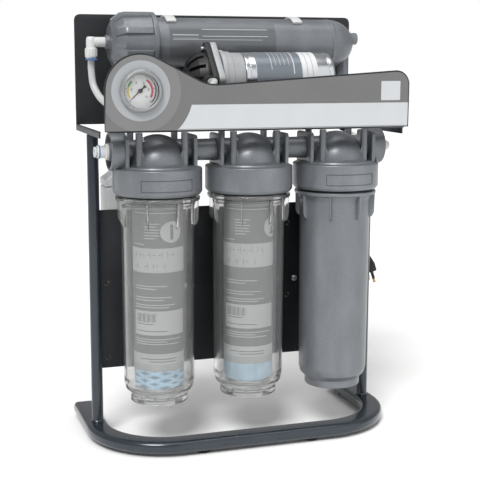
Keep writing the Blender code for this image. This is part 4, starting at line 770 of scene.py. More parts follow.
def makeGauge(p, g):
    gx, gz = p["gauge"]
    face = p["front"]
    at, inner, floor = faceFront(gx, face, gz), g["case"] - 0.0015, -0.006
    form = bmesh.new()
    c, d = g["case"], g["depth"]
    addTurned(form, eased([(0, floor), (inner, floor), (inner, 0.0034), (c, 0.0034),
                           (c, 0.002 - d, 0.001), (c - 0.002, -d, 0.001), (0.0065, -d),
                           (0.0065, -d - 0.012, 0.0005), (0, -d - 0.012)]), at, 72)
    dress(rawPiece("gaugeCase", form), blackPlastic, replaces=["gauge_case"])
    dress(turned("gaugeDial", eased([(0, floor + 0.0012), (inner - 0.0004, floor + 0.0012, 0.0002),
                                     (inner - 0.0004, floor + gap), (0, floor + gap)]), at, 72),
          printWhite, replaces=["gauge_dial"])
    dialFace, numberRing, tickRing = face - floor - 0.0012, 0.0106, 0.0203
    arcOuter, arcInner, rimOuter = 0.0166, 0.0142, 0.0206
    arcs = (("dialYellow", arcOuter, arcInner, 214, 163, printYellow),
            ("dialGreen", arcOuter, arcInner, 162, 132, printGreen),
            ("dialRed", arcOuter, 0.0140, 58, -32, printRed),
            ("dialBlackEnd", rimOuter, 0.0192, 30, -44, printDark),
            ("dialBlackStart", rimOuter, 0.0199, 224, 36, printDark))
    for name, outer, inner2, start, end, finish in arcs:
        piece = addPrint(name, ringSector(gx, gz, outer, inner2, start, end), finish, dialFace, 1)
    form = bmesh.new()
    for i in range(51):
        turn = radians(225 - 270 * i / 50)
        long = 0.0034 if i % 10 == 0 else 0.0024 if i % 5 == 0 else 0.0015
        wide = 0.00028 if i % 10 == 0 else 0.00016
        fresh = addBlock(form, (tickRing - long, -wide, -0.0001), (tickRing, wide, 0.00006))
        bmesh.ops.transform(form, matrix=faceFront(gx, dialFace, gz) @ Matrix.Rotation(turn, 4, "Z"),
                            verts=fresh)
    dress(rawPiece("dialTicks", form), printDark)
    for i, text in enumerate(("0", "2", "4", "6", "8", "10")):
        turn = radians(225 - 54 * i)
        mesh = textMesh("number" + text, text, 0.0043, 0.00004)
        mesh.transform(faceFront(gx + numberRing * cos(turn), dialFace, gz + numberRing * sin(turn)))
        number = bpy.data.objects.new("dialNumber" + text, mesh)
        scene.collection.objects.link(number)
        dress(number, printDark)
    # needle on its hub
    form = bmesh.new()
    tip, tail = g["needle"], g["tail"]
    addPlate(form, [(-0.00025, -tip), (0.00025, -tip), (0.0008, -0.002), (0.0021, 0), (0.0010, 0.002),
                    (0.0010, tail * 0.55), (0.0026, tail), (-0.0026, tail), (-0.0010, tail * 0.55),
                    (-0.0010, 0.002), (-0.0021, 0), (-0.0008, -0.002)], 0, 0.0005, stand(), 0.0001, 1)
    addTurned(form, eased([(0, 0.0016), (0.0026, 0.0016, 0.0006), (0.0026, 0.0001), (0, 0.0001)]),
              stand(), 32)
    bmesh.ops.transform(form, matrix=faceFront(gx, dialFace - 0.0009,
                                               gz) @ Matrix.Rotation(g["rest"], 4, "Z"), verts=form.verts)
    dress(rawPiece("gaugeNeedle", form), needlePaint, "needle", ["gauge_needle"])
    form = bmesh.new()
    b, w, lens, proud = g["bezel"], g["window"], 0.0040, g["proud"]
    addTurned(form, eased([(b - 0.0026, proud, 0.0012), (b, proud - 0.0030, 0.0016), (b, 0.0003),
                           (c + gap, 0.0003), (c + gap, lens + 0.0016), (w, lens + 0.0022, 0.0003),
                           (w, proud - 0.0012, 0.0006), (w + 0.0012, proud, 0.0006)], 4, True), at, 96,
              closed=True)
    dress(rawPiece("gaugeBezel", form), bezelPlastic, replaces=["gauge_bezel"])
    dress(turned("gaugeLens", eased([(0, lens + 0.0010), (c - 0.0006, lens + 0.0010, 0.0002),
                                     (c - 0.0006, lens + 0.0001), (0, lens + 0.0001)]), at, 72),
          lensClear, replaces=["gauge_lens"])


lensClear = makeFinish("lensClear", (0.98, 0.99, 0.99), 0.03, 0.0, (60, 0.005), (12, 0.01), clear=1.0,
                       roughCloud=0.01)
makePanel(panel, gauge)
makeGauge(panel, gauge)
print("panel and gauge made")

# filter heads: collar, dome, ports with their flange plates, and ribbed pillars up to the shelf
head = {"x": (-0.126, 0.0, 0.126), "y": -0.048, "top": 0.3788, "height": 0.0455, "collar": 0.0587,
        "drop": 0.0358, "dome": 0.0405, "rim": 0.0012, "port": 0.0203, "portRadius": 0.0148,
        "bore": 0.007, "flange": 0.0475, "plate": 0.005, "plateHalf": 0.026, "boss": 0.0245,
        "bossLong": 0.022, "pillar": (0.0300, 0.0260), "seat": 0.0085}


def makeHead(h, number):
    x, y, top = h["x"][number - 1], h["y"], h["top"]
    at, portZ, under = stand(x, y, top), top + h["port"], top + h["height"]
    r, d = h["collar"], h["drop"]
    form = bmesh.new()
    foot = h["dome"] + 0.0034
    outside = bend(0, h["rim"], h["dome"], 90, 5, 26) + [(h["dome"] + 0.0010, 0.0034)]
    outside += eased([(foot, 0.0022), (r - 0.0075, 0.0020, 0.001), (r - 0.0062, -0.0004, 0.001),
                      (r - 0.0040, -0.0004, 0.001), (r, -0.0016, 0.0016),
                      (r + 0.0001, 0.0040 - d, 0.002), (r - 0.0026, -d, 0.002), (0.0500, -d)])
    spigot = -0.0455
    inside = [(0.0500, -d), (0.0518, -d + 0.002), (0.0518, -0.0086), (0.0350, -0.0086)]
    inside += bend(0, h["rim"], 0.0350, 6, 62, 10)
    inside += [(0.0122, 0.0315), (0.0122, spigot), (0.0097, spigot), (0.0097, 0.014), (0, 0.014)]
    addTurned(form, outside + inside, at, 112)
    body = rawPiece(f"head{number}", form)
    for side, end in ((-1, number == 1), (1, number == 3)):
        turn = Matrix.Translation((x, y, portZ)) @ Matrix.Rotation(side * pi / 2, 4, "Y")
        cutBy(body, turned("port", [(0, h["flange"] - 0.001), (h["portRadius"], h["flange"] - 0.001),
                                    (h["portRadius"], 0.024), (0, 0.024)], turn, 48), "UNION")
        # flange plate with a rounded front and foot
        half, low, high = h["plateHalf"], top - 0.0026, under - 0.004
        plate = plated("plate", eased([(-half, low, 0.004), (half, low, 0.004), (half, high, 0.006),
                                       (-half, high, 0.006)], 6, True), h["flange"] - h["plate"],
                       h["flange"], alongX(x, y, 0, side), 0.0009)
        cutBy(body, plate, "UNION")
        if end:
            face = h["flange"] - h["plate"] + h["bossLong"]
            cutBy(body, turned("boss", eased([(0, face), (0.0118, face, 0.0004), (0.0118, face - 0.012),
                                              (h["boss"] - 0.0030, face - 0.012),
                                              (h["boss"] - 0.0030, face, 0.0005),
                                              (h["boss"], face, 0.0012),
                                              (h["boss"], h["flange"] - h["plate"] + 0.001),
                                              (0, h["flange"] - h["plate"] + 0.001)]), turn, 80), "UNION")
    # pillars: round posts that grow into the dome as thin webs
    px, py = h["pillar"]
    for sx in (-1, 1):
        for sy in (-1, 1):
            cutBy(body, turned("pillar", [(0, h["height"] - gap), (0.0046, h["height"] - gap),
                                          (0.0046, -0.0005), (0, -0.0005)],
                               stand(x + sx * px, y + sy * py, top), 28), "UNION")
            form = bmesh.new()
            web = [(px + 0.0030, 0.0005), (px + 0.0030, h["height"] - 0.006),
                   (px - 0.0030, h["height"] - 0.006), (px - 0.0034, 0.024), (px - 0.0075, 0.0120),
                   (px - 0.012, 0.0040), (px - 0.012, 0.0005)]
            addPlate(form, [(sx * u, w) for u, w in web], -0.0030, 0.0030, faceFront(x, y + sy * py, top))
            cutBy(body, rawPiece("web", form), "UNION")
    for side, end in ((-1, number == 1), (1, number == 3)):
        turn = Matrix.Translation((x, y, portZ)) @ Matrix.Rotation(side * pi / 2, 4, "Y")
        face = h["flange"] - h["plate"] + h["bossLong"]
        form = bmesh.new()
        bore = [(0, 0.09), (h["bore"], 0.09), (h["bore"], 0.0215), (0, 0.0215)]
        if end:
            bore = [(0, 0.09), (h["seat"], 0.09), (h["seat"], face - 0.0128),
                    (h["bore"], face - 0.0128), (h["bore"], 0.0215), (0, 0.0215)]
        addTurned(form, bore, turn, 40)
        cutBy(body, rawPiece("bore", form))
    dress(body, silverPlastic, replaces=[f"head_{number}"], angle=28)
    # blank frame on the outer collars, its thin raised lines drawn in dark grey as painted shadow lines
    if number != 2:
        form = bmesh.new()
        wide, upper, lower = 34, -0.0130, -0.0280
        for a0, a1, z0, z1 in ((-wide, wide, upper, upper - 0.0007), (-wide, wide, lower + 0.0007, lower),
                               (-wide - 0.6, -wide, upper, lower), (wide, wide + 0.6, upper, lower)):
            section = [(radians(a0 + (a1 - a0) * i / 12)) for i in range(13)]
            lines = [[form.verts.new((x + (r + off) * sin(a), y - (r + off) * cos(a),
                                      top + zz)) for a in section] for off,
                     zz in ((-0.0004, z0), (0.00050, z0), (0.00050, z1), (-0.0004, z1))]
            edges = [[form.edges.new((q[i], q[i + 1])) for i in range(12)] for q in lines]
            for i in range(4):
                bmesh.ops.bridge_loops(form, edges=edges[i] + edges[(i + 1) % 4])
            for i in (0, 12):
                form.faces.new([q[i] for q in lines])
        dress(rawPiece(f"collarFrame{number}", form), paintedFrameShadow)
    # bleed button on the dome's left shoulder
    dress(turned(f"bleedButton{number}", eased([(0, 0.0042), (0.0034, 0.0042, 0.0008), (0.0034, 0.0008),
                                                (0.0052, 0.0006, 0.0004), (0.0052, -0.0015),
                                                (0, -0.0015)]),
                 Matrix.Translation((x - 0.0225, y - 0.010, top + 0.0345)), 28), zinc)


def makeCouplings(h):
    middle = h["x"][2] / 2
    for number, x in ((1, -middle), (2, middle)):
        reach = middle - h["flange"] - gap
        r = h["portRadius"]
        dress(turned(f"coupling{number}",
                     eased([(r - 0.0012, reach), (r, reach - 0.0008, 0.0004), (r, reach - 0.0030),
                            (r - 0.0005, reach - 0.0034), (r - 0.0005, 0.0034 - reach),
                            (r, 0.0030 - reach), (r, 0.0008 - reach, 0.0004), (r - 0.0012, -reach),
                            (h["bore"], -reach), (h["bore"], reach)], 3, True),
                     faceRight(x, h["y"], h["top"] + h["port"]), 64, closed=True), silverPlastic,
              replaces=[f"coupling_{number}"])


for number in (1, 2, 3):
    makeHead(head, number)
makeCouplings(head)
print("heads made")

# bowls: two clear ones and a closed one, each with a collar flange, eight lugs and a foot
bowl = {"long": 0.314, "radius": 0.0485, "draft": 0.0013, "wall": 0.0040, "neck": 0.0504,
        "flange": 0.0560, "flangeTop": 0.0390, "flangeThick": 0.0044, "foot": 0.0385,
        "footTall": 0.0115, "lugs": 8, "lugOut": 0.0545, "lugThick": 0.0024, "lugLong": 0.033,
        "cartridge": 0.0330, "cartridgeFoot": 0.2925, "cartridgeLong": 0.254, "core": 0.0140}


def makeBowl(b, h, number, finish):
    x, y, top = h["x"][number - 1], h["y"], h["top"]
    at, body = stand(x, y, top), f"housing_bowl_{number}"
    form = bmesh.new()
    r, low, neckTop, under = b["radius"], b["radius"] - b["draft"], -0.0100, -b["flangeTop"]
    flangeLow, foot, end = under - b["flangeThick"], b["foot"], -b["long"]
    wall = b["wall"]
    outside = [(0.0490, neckTop), (b["neck"], neckTop, 0.0006), (b["neck"], under, 0.0003),
               (b["flange"], under, 0.0010), (b["flange"], flangeLow, 0.0016),
               (r + 0.0022, flangeLow - 0.0012, 0.0020), (r, flangeLow - 0.0080, 0.004),
               (low, end + 0.026, 0.010), (low - 0.0022, end + 0.0175, 0.006),
               (foot + 0.0010, end + b["footTall"], 0.0016),
               (foot, end + b["footTall"] - 0.0010, 0.0010), (foot, end, 0.0018),
               (foot - 0.0040, end, 0.0008), (foot - 0.0052, end + 0.0016, 0.001), (0, end + 0.0016)]
    floor = end + 0.0016 + wall
    inside = [(0, floor + 0.0135), (0.0122, floor + 0.0135, 0.0008),
              (0.0122, -b["cartridgeFoot"] - gap), (0.0190, -b["cartridgeFoot"] - gap, 0.0005),
              (0.0200, floor, 0.002), (foot - 0.0060, floor, 0.004),
              (foot - 0.0035, end + 0.0150, 0.004), (low - wall - 0.0015, end + 0.0220, 0.008),
              (low - wall, end + 0.0330, 0.006), (r - wall, under), (r - wall, neckTop, 0.0004),
              (0.0449, neckTop), (0.0449, neckTop - 0.0026), (0.0490, neckTop - 0.0026)]
    addTurned(form, eased(outside, 5) + eased(inside, 5), at, 112, closed=True)
    shell = rawPiece(f"bowl{number}", form)
    form = bmesh.new()
    for i in range(b["lugs"]):
        turn = Matrix.Rotation(2 * pi * (i + 0.35) / b["lugs"], 4, "Z")
        t = b["lugThick"] / 2
        side = [(r - 0.0016, flangeLow + 0.001), (b["lugOut"] + 0.0006, flangeLow + 0.001),
                (b["lugOut"], flangeLow - b["lugLong"] + 0.0075),
                (b["lugOut"] - 0.0022, flangeLow - b["lugLong"] + 0.0022),
                (r - 0.0016, flangeLow - b["lugLong"] - 0.0015)]
        addPlate(form, eased([(u, w, 0.0014) for u, w in side], 3, True), -t, t, at @ turn @ faceFront(),
                 0.0005, 2)
    cutBy(shell, rawPiece("lugs", form), "UNION")
    dress(shell, finish, body, [f"bowl_{number}"], angle=30)
    # stiffening ribs inside the foot of the bowl
    form = bmesh.new()
    for i in range(12):
        turn = Matrix.Rotation(2 * pi * (i + 0.2) / 12, 4, "Z")
        rib = [(0.0205, floor - 0.0006), (foot - 0.0052, floor - 0.0006),
               (foot - 0.0030, floor + 0.0070), (0.0330, floor + 0.0052), (0.0300, floor + 0.0040),
               (0.0205, floor + 0.0036)]
        addPlate(form, rib, -0.0008, 0.0008, at @ turn @ faceFront())
    dress(rawPiece(f"bowlRibs{number}", form), finish, body)
    # dark band round the neck in the gap under the collar, in the rubber finish: painted shade for that gap
    dress(turned(f"neckShadeBand{number}", [(b["neck"] + 0.0002, -0.0384), (b["neck"] + 0.0006, -0.0384),
                                       (b["neck"] + 0.0006, -0.0352), (b["neck"] + 0.0002, -0.0352)],
                 at, 96, closed=True), rubber, body)
    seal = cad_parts[f"bowl_seal_{number}"]
    seal.data.materials.clear()
    seal.data.materials.append(rubber)


def addSkin(form, spot, radius, start, end, low, high, skin, steps):
    # a thin skin on a cylinder, between two angles from the front and two places along it
    steps = steps or max(2, int(abs(end - start) / 4))
    rows = []
    for along, off in ((low, 0), (high, 0), (high, skin), (low, skin)):
        rows.append([form.verts.new(spot(along, radius + off, radians(start + (end - start) * i / steps)))
                     for i in range(steps + 1)])
    edges = [[form.edges.new((row[i], row[i + 1])) for i in range(steps)] for row in rows]
    for i in range(4):
        bmesh.ops.bridge_loops(form, edges=edges[i] + edges[(i + 1) % 4])
    for i in (0, -1):
        form.faces.new([row[i] for row in rows])


def addAround(form, x, y, radius, start, end, low, high, skin=0.00012, steps=None):
    # round an upright cylinder
    addSkin(form, lambda along, r, a: (x + r * sin(a), y - r * cos(a), along), radius, start, end, low,
            high, skin, steps)


def addRound(form, y, z, radius, start, end, low, high, skin=0.0001):
    # round a cylinder that lies along X
    addSkin(form, lambda along, r, a: (along, y - r * cos(a), z + r * sin(a)), radius, start, end, low,
            high, skin, None)


def wrapMesh(mesh, x, y, radius, turn, height):
    # lays a flat mesh in the XY plane round a cylinder; its middle faces the given angle
    for vert in mesh.vertices:
        u, w, off = vert.co
        a = radians(turn) + u / radius
        vert.co = (x + (radius + off) * sin(a), y - (radius + off) * cos(a), height + w)


def makeCartridge(b, h, number, finish):
    # the cartridge with its own UV map round and along it
    x, y, top = h["x"][number - 1], h["y"], h["top"]
    r, low, high = b["cartridge"], top - b["cartridgeFoot"], top - b["cartridgeFoot"] + b["cartridgeLong"]
    form = bmesh.new()
    profile = eased([(b["core"], high), (r, high, 0.0012), (r, high - 0.0040), (r, low + 0.0040),
                     (r, low, 0.0016), (b["core"], low)], 4, True)
    addTurned(form, profile, stand(x, y, 0), 96, closed=True)
    layer = form.loops.layers.uv.new("around")
    for f in form.faces:
        angles = []
        for loop in f.loops:
            px, py = loop.vert.co.xy
            a = (Vector((px - x, py - y)).angle_signed(Vector((0, -1)), 0.0)) / (2 * pi)
            angles.append(a)
        if max(angles) - min(angles) > 0.5:
            angles = [a + 1 if a < 0 else a for a in angles]
        for loop, a in zip(f.loops, angles):
            loop[layer].uv = (a * 2 * pi * r, loop.vert.co.z)
    piece = rawPiece(f"cartridge{number}", form)
    dress(piece, finish, f"filter_{number}", [f"cartridge_{number}"], angle=50)


def makeWrap(b, h, number, circleTurn):
    # printed film: grey and white bands, a numbered disc, and plain rules in place of wording
    x, y, body = h["x"][number - 1], h["y"], f"filter_{number}"
    skin = 0.00025
    r = b["cartridge"] + 0.0002
    facing = -14 - 4.6 * (number - 1)
    bands = [("wrapTop", 0.2755, 0.3390, wrapGrey), ("wrapBandUpper", 0.2435, 0.2755, wrapWhite),
             ("wrapMiddle", 0.1350, 0.2435, wrapGrey), ("wrapBandLower", 0.1205, 0.1350, wrapWhite),
             ("wrapFoot", 0.1110, 0.1205, paperWrap)]
    for name, low, high, finish in bands:
        form = bmesh.new()
        addAround(form, x, y, r, -179.5, 179.5, low, high, skin, 96)
        dress(rawPiece(f"{name}{number}", form), finish, body, angle=50)
    r += skin
    form = bmesh.new()
    addAround(form, x, y, r, facing - 62, facing + 68, 0.1600, 0.1925)
    dress(rawPiece(f"wrapBox{number}", form), wrapWhite, body, angle=50)
    # disc with its stage number left out of it
    disc = plated(f"wrapDisc{number}", [(0.0158 * cos(2 * pi * i / 48),
                                         0.0140 * sin(2 * pi * i / 48)) for i in range(48)], 0, 0.00012,
                  stand())
    sliceAcross(disc.data, 7, 0.002)
    wrapMesh(disc.data, x, y, r, circleTurn, 0.2965)
    dress(disc, wrapWhite, body, angle=50)
    mesh = textMesh(f"stage{number}", str(number), 0.026, 0.00012, 0.0009)
    sliceAcross(mesh, 6, 0.0016)
    wrapMesh(mesh, x, y, r + 0.0001, circleTurn, 0.2955)
    digit = bpy.data.objects.new(f"wrapNumber{number}", mesh)
    scene.collection.objects.link(digit)
    dress(digit, wrapGrey, body, angle=50)
    # rules and bars
    light, dark = bmesh.new(), bmesh.new()
    for z, a0, a1 in ((0.3290, -60, 52), (0.3250, -62, 40), (0.3210, -60, 48), (0.3070, -32, 2),
                      (0.3032, -32, -4), (0.2994, -32, 4), (0.2956, -32, 0), (0.2918, -32, 2),
                      (0.2880, -32, -6), (0.2800, -62, -32), (0.2250, -60, 20), (0.2215, -58, -5),
                      (0.2100, -60, 30), (0.2064, -60, 12), (0.2000, -60, 38), (0.1968, -60, 24),
                      (0.1540, -60, 56), (0.1508, -60, 18), (0.1476, -60, 48)):
        addAround(light, x, y, r, facing + a0, facing + a1, z, z + 0.0011, 0.00008)
    for k in range(22):
        wide = (0.5, 1.1, 0.7, 1.6, 0.6)[k * 7 % 5]
        addAround(dark, x, y, r + 0.0001, facing - 55 + k * 2.3, facing - 55 + k * 2.3 + wide, 0.1775,
                  0.1890, 0.00008, 1)
    for z, a0, a1 in ((0.1745, -54, -12), (0.1650, -56, 20), (0.1275, -44, 40), (0.1240, -20, 40)):
        addAround(dark, x, y, r + 0.0001, facing + a0, facing + a1, z, z + 0.0009, 0.00008)
    for k in range(18):
        for row, (z, tall) in enumerate(((0.2632, 0.0074), (0.2482, 0.0074))):
            if (k * 5 + row * 3) % 7 < (5 if row == 0 else 4) and k < 16 - 4 * row:
                a = facing - 56 + k * 6.4
                addAround(dark, x, y, r + 0.0001, a, a + (0.9, 3.6)[(k + row) % 2],
                          z + (0, tall * 0.42)[(k + row) % 2], z + (tall, tall * 0.55)[(k + row) % 2],
                          0.00008, 1)
    dress(rawPiece(f"wrapRules{number}", light), wrapWhite, body, angle=50)
    dress(rawPiece(f"wrapBars{number}", dark), wrapDark, body, angle=50)


bowlLooks = ((clearPlastic, "clear_plastic"), (clearPlastic, "clear_plastic"),
             (silverPlastic, "grey_plastic"))
filterLooks = ((woundYarn, "filter_wound"), (meltBlown, "filter_smooth"), (netSleeve, "filter_carbon"))
for number, (finish, slot) in enumerate(bowlLooks, 1):
    makeBowl(bowl, head, number, finish)
for number, (finish, slot) in enumerate(filterLooks, 1):
    makeCartridge(bowl, head, number, finish)
makeWrap(bowl, head, 1, 17.3)
makeWrap(bowl, head, 2, 46)
print("bowls and cartridges made")

# push-fit fittings at the two end ports
fitting = {"face": 0.1905, "radius": 0.0082, "reach": 0.0150, "tube": 0.00475, "collet": 0.0070,
           "travel": 0.0015, "outletX": 0.1976, "outletReach": 0.024}


def makeInlet(f, h):
    at = Matrix.Translation((0, h["y"], h["top"] + h["port"])) @ Matrix.Rotation(-pi / 2, 4, "Y")
    face, r, mouth, end = f["face"], f["radius"], 0.0063, f["face"] + f["reach"]
    dress(turned("inletFitting", eased([(mouth, end, 0.0003), (r, end, 0.0010),
                                        (r, face + 0.0048, 0.0003), (r + 0.0022, face + 0.0040, 0.0005),
                                        (r + 0.0022, face + 0.0004, 0.0004), (r, face + 0.0004),
                                        (r, face - 0.0122), (0.0052, face - 0.0122),
                                        (0.0052, face + 0.003), (mouth, face + 0.003)], 4, True), at,
                 64, closed=True), whitePlastic, replaces=["inlet_fitting"])
    form = bmesh.new()
    lip = end + f["travel"] + gap
    addTurned(form, eased([(f["collet"], lip + 0.0016, 0.0005), (f["collet"], lip, 0.0003),
                           (0.0055, lip), (0.0055, face + 0.0056), (0.0049, face + 0.0056),
                           (0.0049, lip + 0.0016, 0.0003)], 3, True), at, 56, closed=True)
    dress(rawPiece("inletCollet", form), whitePlastic, "inlet_collet", ["inlet_collet"])
    dress(turned("inletClip", eased([(r + 0.0001, end - 0.0034), (r + 0.0007, end - 0.0034, 0.0003),
                                     (r + 0.0007, end - 0.0018, 0.0003), (r + 0.0001, end - 0.0018)], 3,
                                    True), at, 56, closed=True), clipBlue)


def makeOutlet(f, h):
    x, y, z = f["outletX"], h["y"], h["top"] + h["port"]
    body = turned("outletElbow", eased([(0, x + 0.0078), (0.0052, x + 0.0078, 0.002),
                                        (f["radius"], x, 0.003), (f["radius"], f["face"] - 0.0122),
                                        (0, f["face"] - 0.0122)]), faceRight(0, y, z), 56)
    cutBy(body, turned("leg", eased([(0, f["outletReach"]), (0.0066, f["outletReach"], 0.0008),
                                     (0.0066, 0), (0, 0)]), faceBack(x, y, z), 48), "UNION")
    cutBy(body, turned("mouth", [(0, 0.04), (f["tube"] + 0.0002, 0.04),
                                 (f["tube"] + 0.0002, f["outletReach"] - 0.010),
                                 (0, f["outletReach"] - 0.010)], faceBack(x, y, z), 40))
    dress(body, whitePlastic, replaces=["outlet_elbow"])


makeInlet(fitting, head)
makeOutlet(fitting, head)
print("fittings made")

# membrane vessel: a shell with a dome, its ribbed end cap, two clips and the elbow that feeds it
vessel = {"y": 0.051, "z": 0.5387, "open": -0.128, "radius": 0.0335, "inner": 0.0305, "seam": 0.152,
          "dome": 0.190, "portEnd": 0.197, "upper": 0.5455, "lower": 0.4700, "lowerX": 0.176,
          "bore": 0.00475, "capLow": -0.167, "capHigh": -0.106, "capRadius": 0.042, "ridges": 8,
          "boss": 0.0095, "bossEnd": -0.1722, "elbowX": -0.1915, "elbowTop": 0.5459, "elbowLow": 0.5162,
          "clips": (-0.085, 0.098), "clipWide": 0.014, "clipThick": 0.0028, "panelY": 0.0944}


def makeVessel(v):
    at = faceRight(0, v["y"], v["z"])
    r, inner, bore = v["radius"], v["inner"], v["bore"]
    form = bmesh.new()
    rise = v["dome"] - v["seam"]
    dome = [(r * cos(radians(a)), v["seam"] + rise * sin(radians(a))) for a in range(0, 86, 6)]
    outside = [(inner + 0.0002, v["open"]), (r, v["open"], 0.0006), (r, v["seam"] - 0.0045)]
    outside += [(r + 0.0006, v["seam"] - 0.0040, 0.0003),
                (r + 0.0006, v["seam"] - 0.0010, 0.0003)] + dome + [(0, v["dome"])]
    cavity = v["dome"] - 0.004
    inside = [(0, cavity)] + [(inner * cos(radians(a)),
                               v["seam"] + (cavity - v["seam"]) * sin(radians(a)))
                              for a in range(80, -1, -8)]
    addTurned(form, eased(outside, 3) + inside, at, 96, closed=True)
    shell = rawPiece("vesselShell", form)
    cutBy(shell, turned("upperPort", eased([(0, v["portEnd"]), (0.0085, v["portEnd"], 0.0008),
                                            (0.0085, v["dome"] - 0.012), (0, v["dome"] - 0.012)]),
                        faceRight(0, v["y"], v["upper"]), 48), "UNION")
    form = bmesh.new()
    low = v["lower"] - v["z"]
    addTurned(form, eased([(0, low), (0.0085, low, 0.0008), (0.0085, low + 0.012, 0.0003),
                           (0.0100, low + 0.0122, 0.0005), (0.0100, low + 0.0165, 0.0005),
                           (0.0088, low + 0.0170), (0.0088, -0.018), (0, -0.018)]),
              stand(v["lowerX"], v["y"], v["z"]), 48)
    cutBy(shell, rawPiece("lowerPort", form), "UNION")
    cutBy(shell, turned("upperBore", [(0, v["portEnd"] + 0.01), (bore, v["portEnd"] + 0.01),
                                      (bore, v["dome"] - 0.030), (0, v["dome"] - 0.030)],
                        faceRight(0, v["y"], v["upper"]), 32))
    cutBy(shell, turned("lowerBore", [(0, low - 0.01), (bore, low - 0.01), (bore, -0.012), (0, -0.012)],
                        stand(v["lowerX"], v["y"], v["z"]), 32))
    dress(shell, silverPlastic, replaces=["membrane_vessel"], angle=40)
    form = bmesh.new()
    addRound(form, v["y"], v["z"], r, -38, 52, -0.0900, 0.0620, 0.00012)
    dress(rawPiece("vesselLabel", form), vesselFilm, angle=40)
    form = bmesh.new()
    for x0, x1, a, wide in ((-0.0860, -0.0500, 16.5, 1.6), (-0.0860, -0.0500, 9.0, 0.8),
                            (-0.0440, 0.0500, 31.0, 1.2), (-0.0440, 0.0500, 14.0, 1.2),
                            (-0.0860, 0.0420, 6.0, 0.8)):
        addRound(form, v["y"], v["z"], r + 0.00012, a, a + wide, x0, x1, 0.00006)
    dress(rawPiece("vesselLines", form), printLight, angle=40)
    # cap with its grip ridges
    form = bmesh.new()
    low, high, R = v["capLow"], v["capHigh"], v["capRadius"]
    wall = v["radius"] + 0.0004
    addTurned(form, eased([(0, v["bossEnd"]), (v["boss"], v["bossEnd"], 0.0008),
                           (v["boss"], low, 0.001), (R - 0.0190, low, 0.002),
                           (R - 0.0110, low + 0.0050, 0.004), (R - 0.0045, low + 0.0160, 0.005),
                           (R - 0.0030, high - 0.0070, 0.001), (R - 0.0012, high - 0.0060, 0.0008),
                           (R - 0.0012, high, 0.0010), (wall, high, 0.0005), (wall, v["open"] - 0.0004),
                           (0, v["open"] - 0.0004)], 3), at, 96)
    cap = rawPiece("vesselCap", form)
    form = bmesh.new()
    for i in range(v["ridges"]):
        turn = Matrix.Rotation(2 * pi * (i + 0.5) / v["ridges"], 4, "Z")
        side = eased([(R - 0.0135, low + 0.0075), (R - 0.0110, low + 0.0030, 0.0016),
                      (R, low + 0.0170, 0.006), (R, high - 0.0090, 0.002), (R - 0.0010, high - 0.0072),
                      (R - 0.0060, high - 0.0072)], 3, True)
        addPlate(form, side, -0.0046, 0.0046, at @ turn @ faceFront(), 0.0004, 2)
    cutBy(cap, rawPiece("ridges", form), "UNION")
    dress(cap, silverPlastic, replaces=["membrane_cap"], angle=30)


def makeVesselElbow(v):
    x, y, z = v["elbowX"], v["y"], v["z"]
    elbow = turned("capElbow", eased([(0, v["bossEnd"] - gap), (0.0068, v["bossEnd"] - gap, 0.0004),
                                      (0.0068, x + 0.0075, 0.0006), (0.0062, x, 0.002), (0, x)]),
                   faceRight(0, y, z), 40)
    form = bmesh.new()
    low, high = v["elbowLow"] - z, v["elbowTop"] - z
    addTurned(form, eased([(0, low), (0.0062, low, 0.0006), (0.0080, low + 0.0030, 0.001),
                           (0.0080, low + 0.0140, 0.0006), (0.0066, low + 0.0150, 0.0006),
                           (0.0066, high - 0.0040, 0.002), (0.0052, high, 0.002), (0, high)]),
              stand(x, y, z), 48)
    cutBy(elbow, rawPiece("leg", form), "UNION")
    form = bmesh.new()
    for i in range(12):
        turn = Matrix.Rotation(2 * pi * i / 12, 4, "Z")
        addPlate(form, [(0.0074, low + 0.0036), (0.0084, low + 0.0044), (0.0084, low + 0.0128),
                        (0.0074, low + 0.0136)], -0.0006, 0.0006, stand(x, y, z) @ turn @ faceFront())
    cutBy(elbow, rawPiece("nutRibs", form), "UNION")
    cutBy(elbow, turned("tubeSpace", [(0, low - 0.01), (0.0049, low - 0.01), (0.0049, low + 0.0118),
                                      (0, low + 0.0118)], stand(x, y, z), 32))
    dress(elbow, whitePlastic, replaces=["cap_elbow"], angle=35)
    form = bmesh.new()
    addTurned(form, eased([(0.0051, low - 0.0016), (0.0078, low - 0.0016, 0.0005),
                           (0.0078, low - 0.0002), (0.0051, low - 0.0002)], 3, True), stand(x, y, z),
              40, closed=True)
    addBlock(form, (x - 0.0064, y - 0.0110, v["elbowLow"] - 0.0015),
             (x + 0.0064, y - 0.0062, v["elbowLow"] - gap), 0.0004)
    dress(rawPiece("elbowClip", form), clipBlue, angle=35)


def makeClips(v):
    r, thick = v["radius"] + 0.0004, v["clipThick"]
    for side, x in zip(("left", "right"), v["clips"]):
        form = bmesh.new()
        arc = [(r * cos(radians(a)), r * sin(radians(a))) for a in range(-52, 129, 6)]
        outer = [((r + thick) * cos(radians(a)),
                  (r + thick) * sin(radians(a))) for a in range(128, -53, -6)]
        addPlate(form, arc + outer, -v["clipWide"] / 2, v["clipWide"] / 2, alongX(x, v["y"], v["z"]),
                 0.0006)
        clip = rawPiece("vesselClip_" + side, form)
        form = bmesh.new()
        reach = v["panelY"] - v["y"]
        addPlate(form, [(r + thick * 0.4, -0.009), (reach, -0.009), (reach, 0.009),
                        (r + thick * 0.4, 0.009)], -v["clipWide"] / 2, v["clipWide"] / 2,
                 alongX(x, v["y"], v["z"]), 0.0006)
        cutBy(clip, rawPiece("clipFoot", form), "UNION")
        dress(clip, whitePlastic, replaces=["vessel_clip_" + side], angle=35)


makeVessel(vessel)
makeVesselElbow(vessel)
makeClips(vessel)
print("membrane vessel made")

